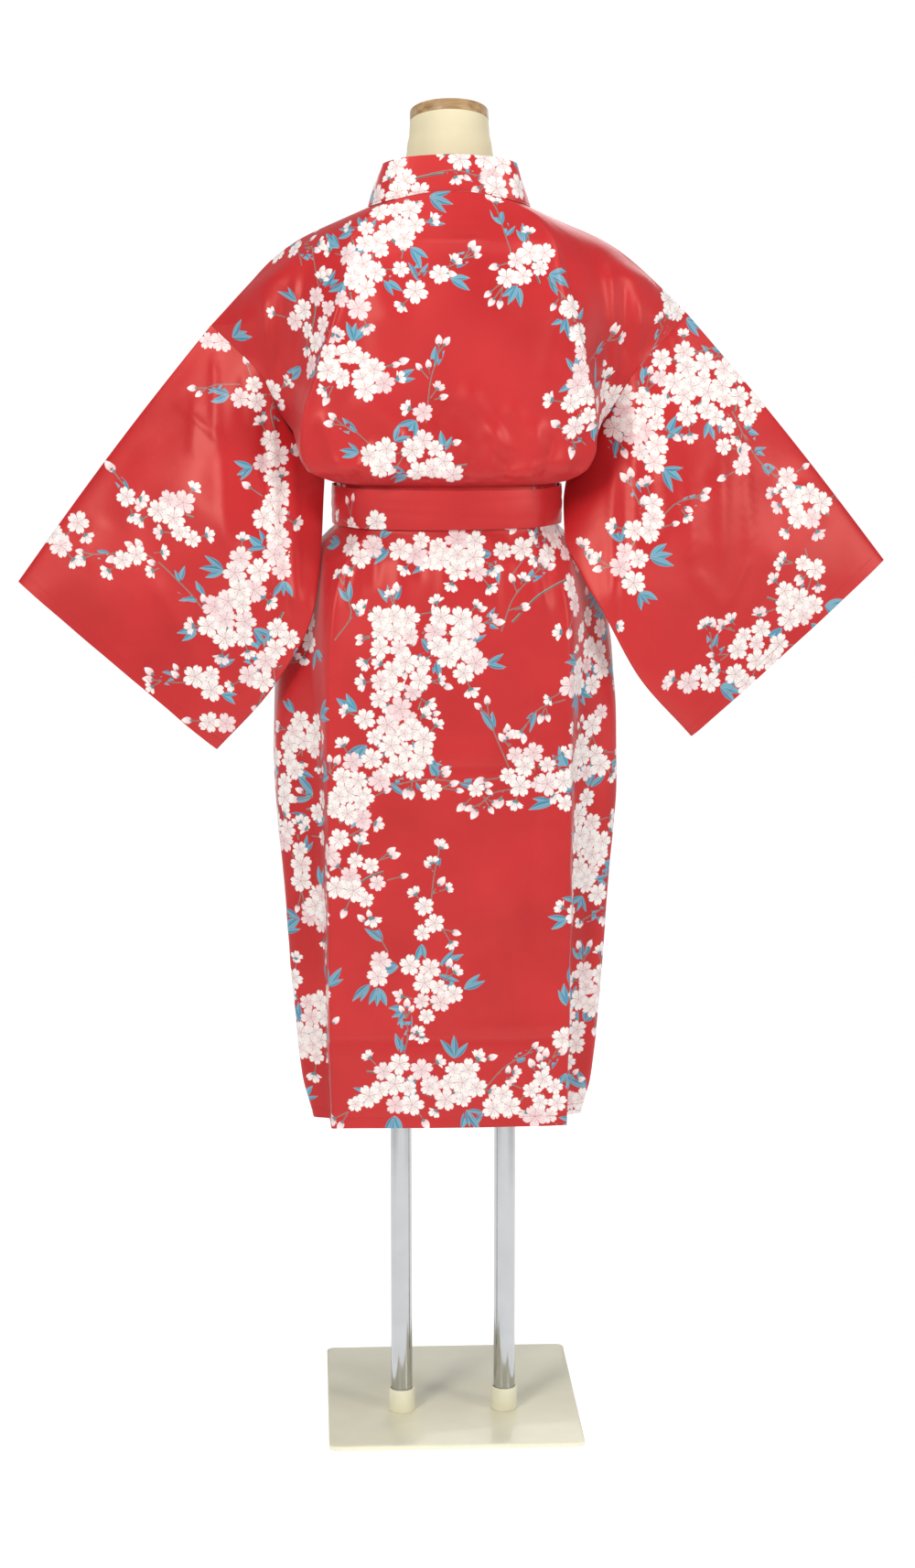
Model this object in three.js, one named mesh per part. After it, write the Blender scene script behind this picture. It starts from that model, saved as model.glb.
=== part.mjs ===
// Happi coat worn by a limbless dress form on a two-pole stand. Millimetres, +Z up.
// The coat's back faces -Y and its fronts face +Y. The origin is the middle of the base plate's underside.
// Every cloth piece is a wall: a grid of points on its middle surface, moved out and in by half its thickness.
import * as THREE from 'three';

// ---------- driving sizes ----------
const CLOTH = 1.6;          // wall thickness of the cloth
const SEAM = 0.15;          // each piece stops this far from a seam, so two pieces are 0.3 apart
const COAT_Y = 38;          // the coat's section tables are measured from a plane this far behind the plate's middle
const HEM_Z = 376;
const NECK_Z = 1427;        // shoulder seam at the neck
const NECK_RISE = 18;       // the back neck seam is this much higher in its middle
const ARM_TOP_Z = 1300.5, ARM_LOW_Z = 1124;   // armhole, from the drop shoulder to the underarm
const ARM_ROWS = 10;
const ROLL = 0.02;          // the wearer's right shoulder and sleeve hang this much higher for each mm out
const BELT = { low: 1068.5, high: 1112.5, thick: 2.4, out: 3.2 };
const COLLAR_W = 42;
const LAP = 6;              // the right front lies this far inside the left one where they lap
const FORM_Y = COAT_Y - 35;
const POLE = { r: 12.7, x: 61.5, y: -50, low: 6.4, high: 799.6 };
const SOCKET = { r: 15.4, inner: 13.0, h: 28 };
const PLATE = { w: 300, l: 330, h: 6, r: 10 };
const CAP = { r: 45, h: 13, tilt: 17 };

// ---------- sections ----------
// A row for each height: cx the section's middle, then half-widths (x) and depths (y) of the centre line, the ridge where
// the panel turns, the valley beside it, the corner and the seam.
const COLS = ['z', 'cx', 'mid', 'rx', 'ry', 'vx', 'vy', 'kx', 'ky', 'sx', 'sy'];
const BACK = [
  [376, -7, -158, 134, -152, 137, -112, 157, -100, 153, -40],
  [420, -7, -160, 135, -153, 139, -114, 168, -98, 165, -39],
  [500, -7, -161, 136, -153, 141, -116, 177, -96, 176, -38],
  [640, -7, -162, 136, -154, 144, -120, 188, -92, 189, -36],
  [800, -7, -164, 136, -154, 148, -121, 197, -86, 200, -35],
  [900, -7, -162, 135, -152, 154, -115, 193, -76, 197, -34],
  [967, -6, -158, 132, -146, 157, -104, 184, -66, 187, -34],
  [1030, -5, -146, 118, -128, 144, -92, 160, -58, 163, -34],
  [1056, -4, -134, 100, -114, 122, -86, 136, -56, 138, -34],
  [1068, -4, -130, 92, -110, 113, -82, 126, -54, 128, -34],
  [1091, -4, -129, 91, -109, 112, -81, 125, -54, 127, -34],
  [1116, -4, -129, 91, -109, 112, -81, 125, -54, 127, -34],
  [1124, -5, -142, 130, -114, 142, -86, 145, -60, 141, -32],
  [1136, -6, -151, 153, -122, 160, -90, 158, -62, 150, -38],
  [1160, -6, -153, 163, -126, 170, -92, 171, -68, 166, -46],
  [1190, -6, -150, 162, -134, 175, -90, 181, -68, 186, -54],
  [1240, -3, -147, 151, -138, 180, -80, 197, -70, 213, -66],
  [1300.5, 0, -141, 134, -134, 180, -86, 212, -74, 273.5, -34],
  [1343, 0, -130, 122, -124, 168, -90, 205, -70, 232, -28],
  [1373, -1, -120, 117, -112, 150, -86, 176, -64, 200, -27],
  [1391, -1, -112, 112, -102, 136, -84, 156, -60, 173, -28],
  [1413, -2, -104, 88, -96, 103, -82, 114, -64, 124, -36],
  [1427, -2, -100, 50, -98, 71, -92, 84, -78, 92, -50],
];
const FRONT = [
  [376, -7, 92, 118, 64, 146, 28, 156, -8, 153, -40],
  [500, -7, 96, 128, 68, 162, 30, 177, -4, 176, -38],
  [640, -7, 99, 134, 70, 172, 32, 189, -2, 189, -36],
  [800, -7, 100, 138, 70, 180, 32, 200, -2, 200, -35],
  [900, -7, 98, 136, 68, 176, 30, 197, -2, 197, -34],
  [967, -6, 93, 130, 64, 168, 28, 187, -4, 187, -34],
  [1030, -5, 78, 112, 54, 144, 22, 163, -8, 163, -34],
  [1056, -4, 66, 97, 46, 124, 16, 138, -12, 138, -34],
  [1068, -4, 62, 92, 44, 116, 14, 128, -12, 128, -34],
  [1091, -4, 61, 91, 43, 115, 14, 127, -12, 127, -34],
  [1116, -4, 61, 91, 43, 115, 14, 127, -12, 127, -34],
  [1124, -5, 69, 112, 52, 134, 24, 144, -4, 141, -32],
  [1136, -6, 78, 130, 62, 152, 36, 160, 12, 154, -14],
  [1160, -6, 88, 144, 73, 166, 52, 174, 27, 176, 4],
  [1190, -6, 93, 150, 78, 176, 56, 190, 30, 202, 12],
  [1240, -3, 92, 146, 76, 182, 46, 207, 22, 232, 6],
  [1300.5, 0, 88, 130, 72, 180, 36, 228, 4, 273.5, -34],
  [1343, 0, 78, 120, 62, 165, 32, 203, 2, 232, -28],
  [1373, -1, 65, 112, 48, 148, 26, 176, 0, 200, -27],
  [1391, -1, 52, 104, 34, 132, 14, 154, -8, 173, -28],
  [1413, -2, 36, 88, 20, 102, 2, 114, -18, 124, -36],
  [1427, -2, 24, 70, 4, 78, -18, 86, -36, 92, -50],
];
const U_AT = [0, 0.48, 0.70, 0.86, 1];   // where the columns lie across half a panel
// The front edge's seam to the collar: its distance over the middle line, from the wearer's left.
const EDGE = [ // z, x of the left front's edge
  [376, 52], [640, 50], [800, 46], [967, 38], [1068, 28], [1124, 26], [1160, 12], [1190, -2], [1240, -21],
  [1300.5, -42], [1343, -56], [1373, -66], [1391, -73], [1413, -82], [1427, -87],
];
// The collar's free edge where it leaves the fronts' surface and stands up round the neck, for the wearer's left.
const STAND_FRONT = [ // z of the seam, then x, y, z of the free edge
  [1366, -30, 62, 1389], [1384, -40, 46, 1412], [1398, -52, 22, 1428], [1409, -60, 0, 1445], [1418, -68, -20, 1460], [1427, -74, -36, 1468],
];
const STAND_BACK = [ // u of the seam, then x, y, z of the free edge
  [-1, -77, -46, 1472], [-0.86, -77, -70, 1475], [-0.7, -68, -87, 1479], [-0.48, -48, -94, 1483], [0, -2, -97, 1486],
];
// Sleeve: lower seam from the underarm to the cuff.
const SLEEVE_LOW = [ // x, y, z of the left one, x and y of the right one, which hangs closer in
  [-146, -32, 1124, 136, -32], [-148, -48, 1092, 134, -48], [-150, -74, 1057, 132, -80], [-154, -108, 1012, 149, -110],
  [-162, -128, 971, 171, -128], [-205, -112, 893, 214, -112], [-273, -76, 816, 279, -76],
];
const CUFF = { x: 499, xr: 505, y: -48, z: 1013, back: 15, front: 22 };
const FORM = [ // z, half-width, half-depth, y of the middle
  [800, 160, 108, 0], [812, 165, 112, 0], [860, 170, 114, 0], [920, 168, 112, 0], [980, 154, 100, 0], [1040, 128, 84, 0], [1090, 113, 74, 0],
  [1140, 118, 82, 0], [1200, 132, 92, 0], [1260, 146, 96, 0], [1310, 155, 88, 0], [1350, 156, 76, 0], [1378, 140, 66, 2],
  [1396, 100, 55, 5], [1412, 66, 51, 8], [1430, 57, 51, 10], [1448, 53.5, 50.5, 12], [1470, 51.4, 49.5, 16], [1500, 48, 47.6, 22],
];
const NECK_TOP = { z: 1524, y: 28, r: 45 };

// ---------- helpers ----------
function curve(xs, ys) { // a smooth line through the rows that never overshoots them
  const n = xs.length, d = [], m = new Array(n);
  for (let i = 0; i < n - 1; i++) d.push((ys[i + 1] - ys[i]) / (xs[i + 1] - xs[i]));
  m[0] = d[0]; m[n - 1] = d[n - 2];
  for (let i = 1; i < n - 1; i++) {
    if (d[i - 1] * d[i] <= 0) m[i] = 0;
    else {
      const a = xs[i] - xs[i - 1], b = xs[i + 1] - xs[i];
      m[i] = 3 * (a + b) / ((2 * b + a) / d[i - 1] + (b + 2 * a) / d[i]);
    }
  }
  return (x) => {
    let i = 0;
    while (i < n - 2 && x > xs[i + 1]) i++;
    const h = xs[i + 1] - xs[i], t = Math.min(1, Math.max(0, (x - xs[i]) / h));
    return (1 + 2 * t) * (1 - t) ** 2 * ys[i] + t * (1 - t) ** 2 * h * m[i] + t * t * (3 - 2 * t) * ys[i + 1] + t * t * (t - 1) * h * m[i + 1];
  };
}
const smooth = (t) => { t = Math.min(1, Math.max(0, t)); return t * t * (3 - 2 * t); };
const V = (x, y, z) => new THREE.Vector3(x, y, z);
const roll = (p) => V(p.x, p.y + COAT_Y, p.z + ROLL * p.x * smooth((Math.abs(p.x) - 130) / 140));

// The seam's line is cut into side seam, armhole and shoulder seam, so that the panels share the first and the last.
const SPLIT = [ARM_LOW_Z, ARM_TOP_Z];
function sections(rows) {
  const at = {};
  COLS.forEach((c, k) => {
    const line = (lo, hi) => { const r = rows.filter((q) => q[0] >= lo && q[0] <= hi); return curve(r.map((q) => q[0]), r.map((q) => q[k])); };
    if (c[0] !== 's' && c !== 'cx') at[c] = line(-Infinity, Infinity);
    else {
      const three = [line(-Infinity, SPLIT[0]), line(SPLIT[0], SPLIT[1]), line(SPLIT[1], Infinity)];
      at[c] = (z) => three[z <= SPLIT[0] ? 0 : z < SPLIT[1] ? 1 : 2](z);
    }
  });
  return (u, z) => { // u -1 at the wearer's left seam, 1 at the right one
    const half = (k) => [0, at.rx(z), at.vx(z), at.kx(z), at.sx(z)][k];
    const deep = [at.mid(z), at.ry(z), at.vy(z), at.ky(z), at.sy(z)];
    const us = [], xs = [], ys = [];
    for (let k = 4; k > 0; k--) { us.push(-U_AT[k]); xs.push(at.cx(z) - half(k)); ys.push(deep[k]); }
    for (let k = 0; k < 5; k++) { us.push(U_AT[k]); xs.push(at.cx(z) + half(k)); ys.push(deep[k]); }
    return V(curve(us, xs)(u), curve(us, ys)(u), z);
  };
}
const backAt = sections(BACK), frontAt = sections(FRONT);
const edgeX = curve(EDGE.map((r) => r[0]), EDGE.map((r) => r[1]));

// Rows of the panels. The armhole's rows are the sleeve's stations too.
const armT = Array.from({ length: ARM_ROWS + 1 }, (_, k) => (1 - Math.cos(Math.PI * k / ARM_ROWS)) / 2); // 0 at the top
const armZ = armT.map((t) => ARM_TOP_Z + (ARM_LOW_Z - ARM_TOP_Z) * t);
const ROWS = [HEM_Z, 420, 500, 590, 690, 790, 870, 930, 980, 1020, 1045, 1058, 1068, 1091, 1115.5, ...armZ.slice().reverse(),
  1322, 1345, 1366, 1384, 1398, 1409, 1418, NECK_Z];

function normals(P, wrap) {
  const n = P.length, m = P[0].length, N = [];
  for (let i = 0; i < n; i++) {
    N.push([]);
    for (let j = 0; j < m; j++) {
      const a = P[Math.max(0, i - 1)][j], b = P[Math.min(n - 1, i + 1)][j];
      const c = wrap ? P[i][(j + m - 1) % m] : P[i][Math.max(0, j - 1)], d = wrap ? P[i][(j + 1) % m] : P[i][Math.min(m - 1, j + 1)];
      N[i].push(b.clone().sub(a).cross(d.clone().sub(c)).normalize());
    }
  }
  return N;
}
// A closed wall on a grid of points, with the grid's second way round closed if wrap.
function wall(P, thick, { wrap = false, N = null } = {}) {
  const n = P.length, m = P[0].length, Q = N || normals(P, wrap), pos = [], idx = [];
  for (const s of [0.5, -0.5]) for (let i = 0; i < n; i++) for (let j = 0; j < m; j++) {
    const p = P[i][j].clone().addScaledVector(Q[i][j], s * thick);
    pos.push(p.x, p.y, p.z);
  }
  const id = (s, i, j) => s * n * m + i * m + (wrap ? (j + m) % m : j);
  const quad = (a, b, c, d) => idx.push(a, b, c, a, c, d);
  for (let i = 0; i < n - 1; i++) for (let j = 0; j < (wrap ? m : m - 1); j++) {
    quad(id(0, i, j), id(0, i + 1, j), id(0, i + 1, j + 1), id(0, i, j + 1));
    quad(id(1, i, j), id(1, i, j + 1), id(1, i + 1, j + 1), id(1, i + 1, j));
  }
  for (let j = 0; j < (wrap ? m : m - 1); j++) {
    quad(id(0, 0, j), id(0, 0, j + 1), id(1, 0, j + 1), id(1, 0, j));
    quad(id(0, n - 1, j + 1), id(0, n - 1, j), id(1, n - 1, j), id(1, n - 1, j + 1));
  }
  if (!wrap) for (let i = 0; i < n - 1; i++) {
    quad(id(0, i + 1, 0), id(0, i, 0), id(1, i, 0), id(1, i + 1, 0));
    quad(id(0, i, m - 1), id(0, i + 1, m - 1), id(1, i + 1, m - 1), id(1, i, m - 1));
  }
  // faces point out when the volume they close is positive
  let volume = 0;
  const at = (k) => V(pos[3 * k], pos[3 * k + 1], pos[3 * k + 2]);
  for (let t = 0; t < idx.length; t += 3) volume += at(idx[t]).dot(at(idx[t + 1]).cross(at(idx[t + 2])));
  if (volume < 0) for (let t = 0; t < idx.length; t += 3) [idx[t], idx[t + 1]] = [idx[t + 1], idx[t]];
  const g = new THREE.BufferGeometry();
  g.setAttribute('position', new THREE.Float32BufferAttribute(pos, 3));
  g.setIndex(idx);
  g.computeVertexNormals();
  return g;
}
const inset = (p, toward, by) => p.clone().add(toward.clone().sub(p).setLength(by));

// ---------- materials ----------
const satin = new THREE.MeshStandardMaterial({ color: 0xd23a3e, roughness: 0.38, metalness: 0, side: THREE.DoubleSide });
const cream = new THREE.MeshStandardMaterial({ color: 0xf2ebcb, roughness: 0.55, metalness: 0 });
const plateCream = new THREE.MeshStandardMaterial({ color: 0xe4e2c6, roughness: 0.4, metalness: 0.1 });
const chrome = new THREE.MeshStandardMaterial({ color: 0xd5d8da, roughness: 0.12, metalness: 1 });
const wood = new THREE.MeshStandardMaterial({ color: 0xc3a573, roughness: 0.5, metalness: 0 });

const part = new THREE.Group();
function add(name, geometry, material) {
  const mesh = new THREE.Mesh(geometry, material);
  mesh.name = name;
  part.add(mesh);
  return mesh;
}

// ---------- panels ----------
const spread = (lo, hi, n) => Array.from({ length: n }, (_, i) => lo + (hi - lo) * i / n);
const halfU = [...spread(0, 0.48, 4), ...spread(0.48, 0.70, 3), ...spread(0.70, 0.86, 3), ...spread(0.86, 1, 3), 1];
const backU = [...halfU.slice(1).reverse().map((u) => -u), ...halfU];
const topRise = (u, z) => NECK_RISE * smooth((z - 1391) / (NECK_Z - 1391)) * Math.cos(Math.PI * u / 2) ** 1.3;

const backP = ROWS.map((z) => backU.map((u) => { const p = backAt(u, z); p.z += topRise(u, z); return roll(p); }));
const uOfX = (x, z) => { // where the front's section reaches x
  let lo = -1, hi = 1;
  for (let k = 0; k < 40; k++) { const c = (lo + hi) / 2; if (frontAt(c, z).x < x) lo = c; else hi = c; }
  return (lo + hi) / 2;
};
// side -1: the wearer's left front, on the outside. side 1: the right one, which goes in under it.
const lapIn = (side, z, s) => side > 0 ? LAP * smooth((s - 0.3) / 0.4) * smooth((1345 - z) / 60) : 0;
const FRONT_COLS = [0, 0.07, 0.15, 0.25, 0.36, 0.48, 0.6, 0.73, 0.87, 1];
function frontGrid(side) {
  return ROWS.map((z) => {
    const e = uOfX(side < 0 ? edgeX(z) : 2 * frontAt(0, z).x - edgeX(z), z);
    return FRONT_COLS.map((s) => {
      const u = side < 0 ? -1 + s * (e + 1) : 1 - s * (1 - e);
      const p = frontAt(u, z);
      p.y -= lapIn(side, z, s);
      return roll(p);
    });
  });
}
const frontP = { left: frontGrid(-1), right: frontGrid(1) };

// ---------- sleeves ----------
const lowAlong = (side) => {
  const s = [0];
  for (let i = 1; i < SLEEVE_LOW.length; i++) s.push(s[i - 1] + Math.hypot(...[0, 1, 2].map((k) => SLEEVE_LOW[i][k] - SLEEVE_LOW[i - 1][k])));
  const t = s.map((v) => v / s[s.length - 1]);
  const x = curve(t, SLEEVE_LOW.map((r) => (side < 0 ? r[0] : r[3]))), y = curve(t, SLEEVE_LOW.map((r) => (side < 0 ? r[1] : r[4]))), z = curve(t, SLEEVE_LOW.map((r) => r[2]));
  return (q) => V(x(q), y(q), z(q));
};
const SLEEVE_S = [0, 0.1, 0.22, 0.36, 0.52, 0.68, 0.84, 1];
function sleeveGrid(side) {
  const low = lowAlong(side), k = ARM_ROWS;
  const armB = armZ.map((z) => backAt(side, z)), armF = armZ.map((z) => frontAt(side, z));
  const A = armB[0], U = low(0), C = low(1), B = V(side < 0 ? -CUFF.x : CUFF.xr, CUFF.y, CUFF.z);
  armB[k] = U.clone(); armF[k] = U.clone();
  const layer = (arm, out) => SLEEVE_S.map((s) => armT.map((t, i) => {
    const round = Math.sin(Math.PI * i / k);
    const cuff = B.clone().lerp(C, t).add(V(0, out * round, 0));
    const top = A.clone().lerp(B, s).add(V(0, 0, 6 * Math.sin(Math.PI * s)));   // the fold along the top, a little full
    const p = arm[i].clone().lerp(cuff, s);
    p.addScaledVector(top.sub(A.clone().lerp(B, s)), 1 - t);
    p.addScaledVector(low(s).sub(U.clone().lerp(C, s)), t);
    return roll(p);
  }));
  const b = layer(armB, -CUFF.back), f = layer(armF, CUFF.front);
  // round the tube: down the back layer and up the front one
  return SLEEVE_S.map((_, i) => [...b[i], ...f[i].slice(1, k).reverse()]);
}
const sleeveP = { left: sleeveGrid(-1), right: sleeveGrid(1) };

// Pieces that meet at a seam end on one shared plane: their normals there are the middle of both.
const backN = normals(backP, false).map((r) => r.map((v) => v.negate()));       // out is -Y
const frontN = { left: normals(frontP.left, false), right: normals(frontP.right, false).map((r) => r.map((v) => v.negate())) };
const last = backU.length - 1, low = ROWS.indexOf(armZ[ARM_ROWS]), top = ROWS.indexOf(armZ[0]);
// which way out is, tested against the section's middle
const flip = (N, P, dir) => { if (N[8][Math.floor(N[8].length / 2)].y * dir < 0) N.forEach((r) => r.forEach((v) => v.negate())); };
flip(backN, backP, -1); flip(frontN.left, frontP.left, 1); flip(frontN.right, frontP.right, 1);
const sleeveN = {};
for (const side of ['left', 'right']) {
  const P = sleeveP[side], m = P[0].length, k = ARM_ROWS;
  const N = normals(P, true);
  if (N[4][Math.floor(k / 2)].y > 0) N.forEach((r) => r.forEach((v) => v.negate()));
  sleeveN[side] = N;
  const col = side === 'left' ? 0 : last;
  for (let r = 0; r < ROWS.length; r++) {
    const b = backN[r][col], f = frontN[side][r][0];
    if (r <= low || r >= top) { // side seam and shoulder seam
      const a = b.clone().add(f);
      if (r === low) a.add(N[0][k]);
      if (r === top) a.add(N[0][0]);
      a.normalize(); b.copy(a); f.copy(a);
      if (r === low) N[0][k].copy(a);
      if (r === top) N[0][0].copy(a);
    } else {
      const i = top - r; // station on the sleeve's back layer
      const sb = N[0][i], sf = N[0][m - i];
      const x = b.clone().add(sb).normalize(), y = f.clone().add(sf).normalize();
      b.copy(x); sb.copy(x); f.copy(y); sf.copy(y);
    }
  }
}
// Trim each piece back from its seams.
const trim = (P, col, next, by) => P.forEach((r) => { r[col] = inset(r[col], r[next], by); });
trim(backP, 0, 1, SEAM); trim(backP, last, last - 1, SEAM);
for (const side of ['left', 'right']) {
  trim(frontP[side], 0, 1, SEAM);
  sleeveP[side][0] = sleeveP[side][0].map((p, j) => inset(p, sleeveP[side][1][j], Math.abs(j - ARM_ROWS) < 3 ? 3.4 : SEAM));
}
const panel = (name, P, N, wrap = false) => add(name, wall(P, CLOTH, { wrap, N }), satin);
panel('back', backP, backN);
panel('front_left', frontP.left, frontN.left);
panel('front_right', frontP.right, frontN.right);
panel('sleeve_left', sleeveP.left, sleeveN.left, true);
panel('sleeve_right', sleeveP.right, sleeveN.right, true);

// ---------- collar band ----------
// It carries on from the front edges, and stands up round the back neck.
function collarStations() {
  const free = [1, 2, 3].map((k) => curve(STAND_FRONT.map((r) => r[0]), STAND_FRONT.map((r) => r[k])));
  const back = [1, 2, 3].map((k) => curve(STAND_BACK.map((r) => r[0]), STAND_BACK.map((r) => r[k])));
  const lastCol = FRONT_COLS.length - 1;
  const down = (side) => ROWS.map((z, i) => {
    const seam = (side < 0 ? frontP.left : frontP.right)[i][lastCol];
    const mid = frontAt(0, z).x, sx = side < 0 ? edgeX(z) : 2 * mid - edgeX(z);
    let end;
    if (z < 1366) {
      const slope = (edgeX(Math.min(z + 3, NECK_Z)) - edgeX(Math.max(z - 3, HEM_Z))) / 6, len = Math.hypot(1, slope);  // how the edge leans
      const zz = Math.max(HEM_Z, z - slope * COLLAR_W / len), p = frontAt(uOfX(sx + (side < 0 ? 1 : -1) * COLLAR_W / len, zz), zz);
      p.y -= lapIn(side, zz, 1);
      end = roll(p);
    } else end = roll(V(side < 0 ? free[0](z) : -4 - free[0](z), free[1](z), free[2](z)));
    return [inset(seam, end, z < 1390 ? 2 * SEAM : 1.1), end];
  });
  const row = backP[ROWS.length - 1];
  const round = backU.map((u, j) => {
    const q = -Math.abs(u), end = roll(V(u <= 0 ? back[0](q) : -4 - back[0](q), back[1](q), back[2](q)));
    return [inset(row[j], end, Math.abs(u) > 0.6 ? 1.1 : 0.5), end];
  }).filter((_, j) => j % 2 === 0 || j > backU.length - 4 || j < 4);
  return [...down(-1), ...round, ...down(1).reverse()];
}
const st = collarStations();
const collarP = st.map(([a, b]) => [0, 1 / 3, 2 / 3, 1].map((t) => a.clone().lerp(b, t)));
{
  const N = normals(collarP, false);
  if (N[5][1].y < 0) N.forEach((r) => r.forEach((v) => v.negate()));
  panel('collar', collarP, N);
}

// ---------- belt ----------
function waist(z, out) { // the coat's section at z, moved out
  const pts = [];
  for (const u of backU) pts.push(backAt(u, z));
  for (const u of backU.slice(1, -1).reverse()) pts.push(frontAt(u, z));
  const n = pts.length;
  return pts.map((p, i) => {
    const a = pts[(i + n - 1) % n], b = pts[(i + 1) % n], d = V(b.x - a.x, b.y - a.y, 0).normalize();
    return V(p.x + d.y * out, p.y - d.x * out, z);
  }).filter((_, i) => i % 2 === 0 || Math.abs(pts[i].x + 4) > 60);
}
{
  const zs = [BELT.low, (BELT.low + BELT.high) / 2, BELT.high];
  const ref = waist(1091, BELT.out + CLOTH / 2 + 1.2);
  const P = zs.map((z) => ref.map((p) => V(p.x, p.y + COAT_Y, z)));
  const N = normals(P, true);
  if (N[1][2].y > 0) N.forEach((r) => r.forEach((v) => v.negate()));
  add('belt', wall(P, BELT.thick, { wrap: true, N }), satin);
}
const KNOT_Y = 61 + COAT_Y + BELT.out + CLOTH / 2 + 1.2 + BELT.thick / 2;
{ // a flat knot: a soft-cornered lump in front of the belt
  const g = new THREE.SphereGeometry(1, 20, 12), p = g.attributes.position;
  const round = (v, e) => Math.sign(v) * Math.abs(v) ** e;
  for (let i = 0; i < p.count; i++) p.setXYZ(i, 31 * round(p.getX(i), 0.7), 11 * round(p.getZ(i), 0.8), 25 * round(p.getY(i), 0.7));
  g.deleteAttribute('normal'); g.deleteAttribute('uv');
  const { mergeVertices } = await import('three/addons/utils/BufferGeometryUtils.js');
  const m = mergeVertices(g, 1e-3), ix = m.index.array.slice();
  for (let i = 0; i < ix.length; i += 3) [ix[i], ix[i + 1]] = [ix[i + 1], ix[i]];
  m.setIndex(Array.from(ix));
  m.translate(-4, KNOT_Y + 12.2, 1090);
  m.computeVertexNormals();
  add('belt_knot', m, satin);
}
const ENDS = [ // name, x at the knot, x at the tip, length, extra depth
  ['belt_end_a', -22, -52, 330, 0], ['belt_end_b', 16, 44, 300, 0],
];
for (const [name, x0, x1, len, deep] of ENDS) {
  const rows = 9, P = [];
  for (let i = 0; i < rows; i++) {
    const t = i / (rows - 1), z = 1062 - len * t, c = x0 + (x1 - x0) * t, half = 12 + 9 * smooth(t / 0.35);
    P.push([-1, -0.5, 0, 0.5, 1].map((w) => {
      const x = c + half * w, p = frontAt(uOfX(x, z), z), lift = 9 + deep + 8 * (1 - smooth(t / 0.2));
      return V(p.x, p.y + COAT_Y + lift, z);
    }));
  }
  const N = normals(P, false);
  if (N[3][2].y < 0) N.forEach((r) => r.forEach((v) => v.negate()));
  add(name, wall(P, BELT.thick, { N }), satin);
}

// ---------- dress form ----------
{
  const seg = 40, rings = [], pos = [], idx = [];
  for (const [z, a, b, y] of FORM) rings.push({ z, a, b, y, tilt: 0, e: z < 1400 ? 0.88 : 1 });
  rings.push({ z: 1508, a: 46, b: 46, y: 24.5, tilt: 9, e: 1 }, { z: NECK_TOP.z, a: NECK_TOP.r, b: NECK_TOP.r, y: NECK_TOP.y, tilt: CAP.tilt, e: 1 });
  const pw = (v, e) => Math.sign(v) * Math.abs(v) ** e;
  for (const r of rings) for (let k = 0; k < seg; k++) {
    const f = 2 * Math.PI * k / seg, t = r.tilt * Math.PI / 180, c = pw(Math.cos(f), r.e), s = pw(Math.sin(f), r.e);
    pos.push(r.a * c, FORM_Y + r.y + r.b * s * Math.cos(t), r.z - r.b * s * Math.sin(t));
  }
  const n = rings.length, id = (i, k) => i * seg + (k + seg) % seg;
  pos.push(0, FORM_Y, rings[0].z, 0, FORM_Y + NECK_TOP.y, NECK_TOP.z);
  for (let k = 0; k < seg; k++) {
    for (let i = 0; i < n - 1; i++) idx.push(id(i, k), id(i, k + 1), id(i + 1, k + 1), id(i, k), id(i + 1, k + 1), id(i + 1, k));
    idx.push(n * seg, id(0, k + 1), id(0, k), n * seg + 1, id(n - 1, k), id(n - 1, k + 1));
  }
  const g = new THREE.BufferGeometry();
  g.setAttribute('position', new THREE.Float32BufferAttribute(pos, 3));
  g.setIndex(idx);
  g.computeVertexNormals();
  add('form_torso', g, cream);
}
{
  const r = CAP.r, h = CAP.h, e = 1.6, t = CAP.tilt * Math.PI / 180;
  const g = new THREE.LatheGeometry([[0, 0], [r - 0.6, 0], [r, 0.6], [r, h - e], [r - e * 0.4, h - e * 0.3], [r - e, h], [0, h]].map(([x, y]) => new THREE.Vector2(x, y)), 48);
  g.rotateX(Math.PI / 2 - t);
  const cap = add('neck_cap', g, wood);
  cap.position.set(0, FORM_Y + NECK_TOP.y + 0.3 * Math.sin(t), NECK_TOP.z + 0.3 * Math.cos(t));
}

// ---------- stand ----------
for (const [side, s] of [['left', -1], ['right', 1]]) {
  const pole = new THREE.CylinderGeometry(POLE.r, POLE.r, POLE.high - POLE.low, 32);
  pole.rotateX(Math.PI / 2);
  add(`pole_${side}`, pole, chrome).position.set(s * POLE.x, POLE.y, (POLE.high + POLE.low) / 2);
  const { r, inner, h } = SOCKET;
  const ring = new THREE.LatheGeometry([[inner, 0], [r, 0], [r, h - 1.2], [r - 1.2, h], [inner, h], [inner, 0]].map(([x, y]) => new THREE.Vector2(x, y)), 32);
  ring.rotateX(Math.PI / 2);
  add(`socket_${side}`, ring, plateCream).position.set(s * POLE.x, POLE.y, PLATE.h + 0.3);
}
{
  const w = PLATE.w / 2, l = PLATE.l / 2, r = PLATE.r, s = new THREE.Shape();
  s.moveTo(-w + r, -l); s.lineTo(w - r, -l); s.absarc(w - r, -l + r, r, -Math.PI / 2, 0); s.lineTo(w, l - r); s.absarc(w - r, l - r, r, 0, Math.PI / 2);
  s.lineTo(-w + r, l); s.absarc(-w + r, l - r, r, Math.PI / 2, Math.PI); s.lineTo(-w, -l + r); s.absarc(-w + r, -l + r, r, Math.PI, 1.5 * Math.PI);
  add('base_plate', new THREE.ExtrudeGeometry(s, { depth: PLATE.h, bevelEnabled: false, curveSegments: 6 }), plateCream);
}

export default part;
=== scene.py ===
# Happi coat on a dress form stand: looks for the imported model. Metres in Blender; the tables below are in millimetres.
import math

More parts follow.
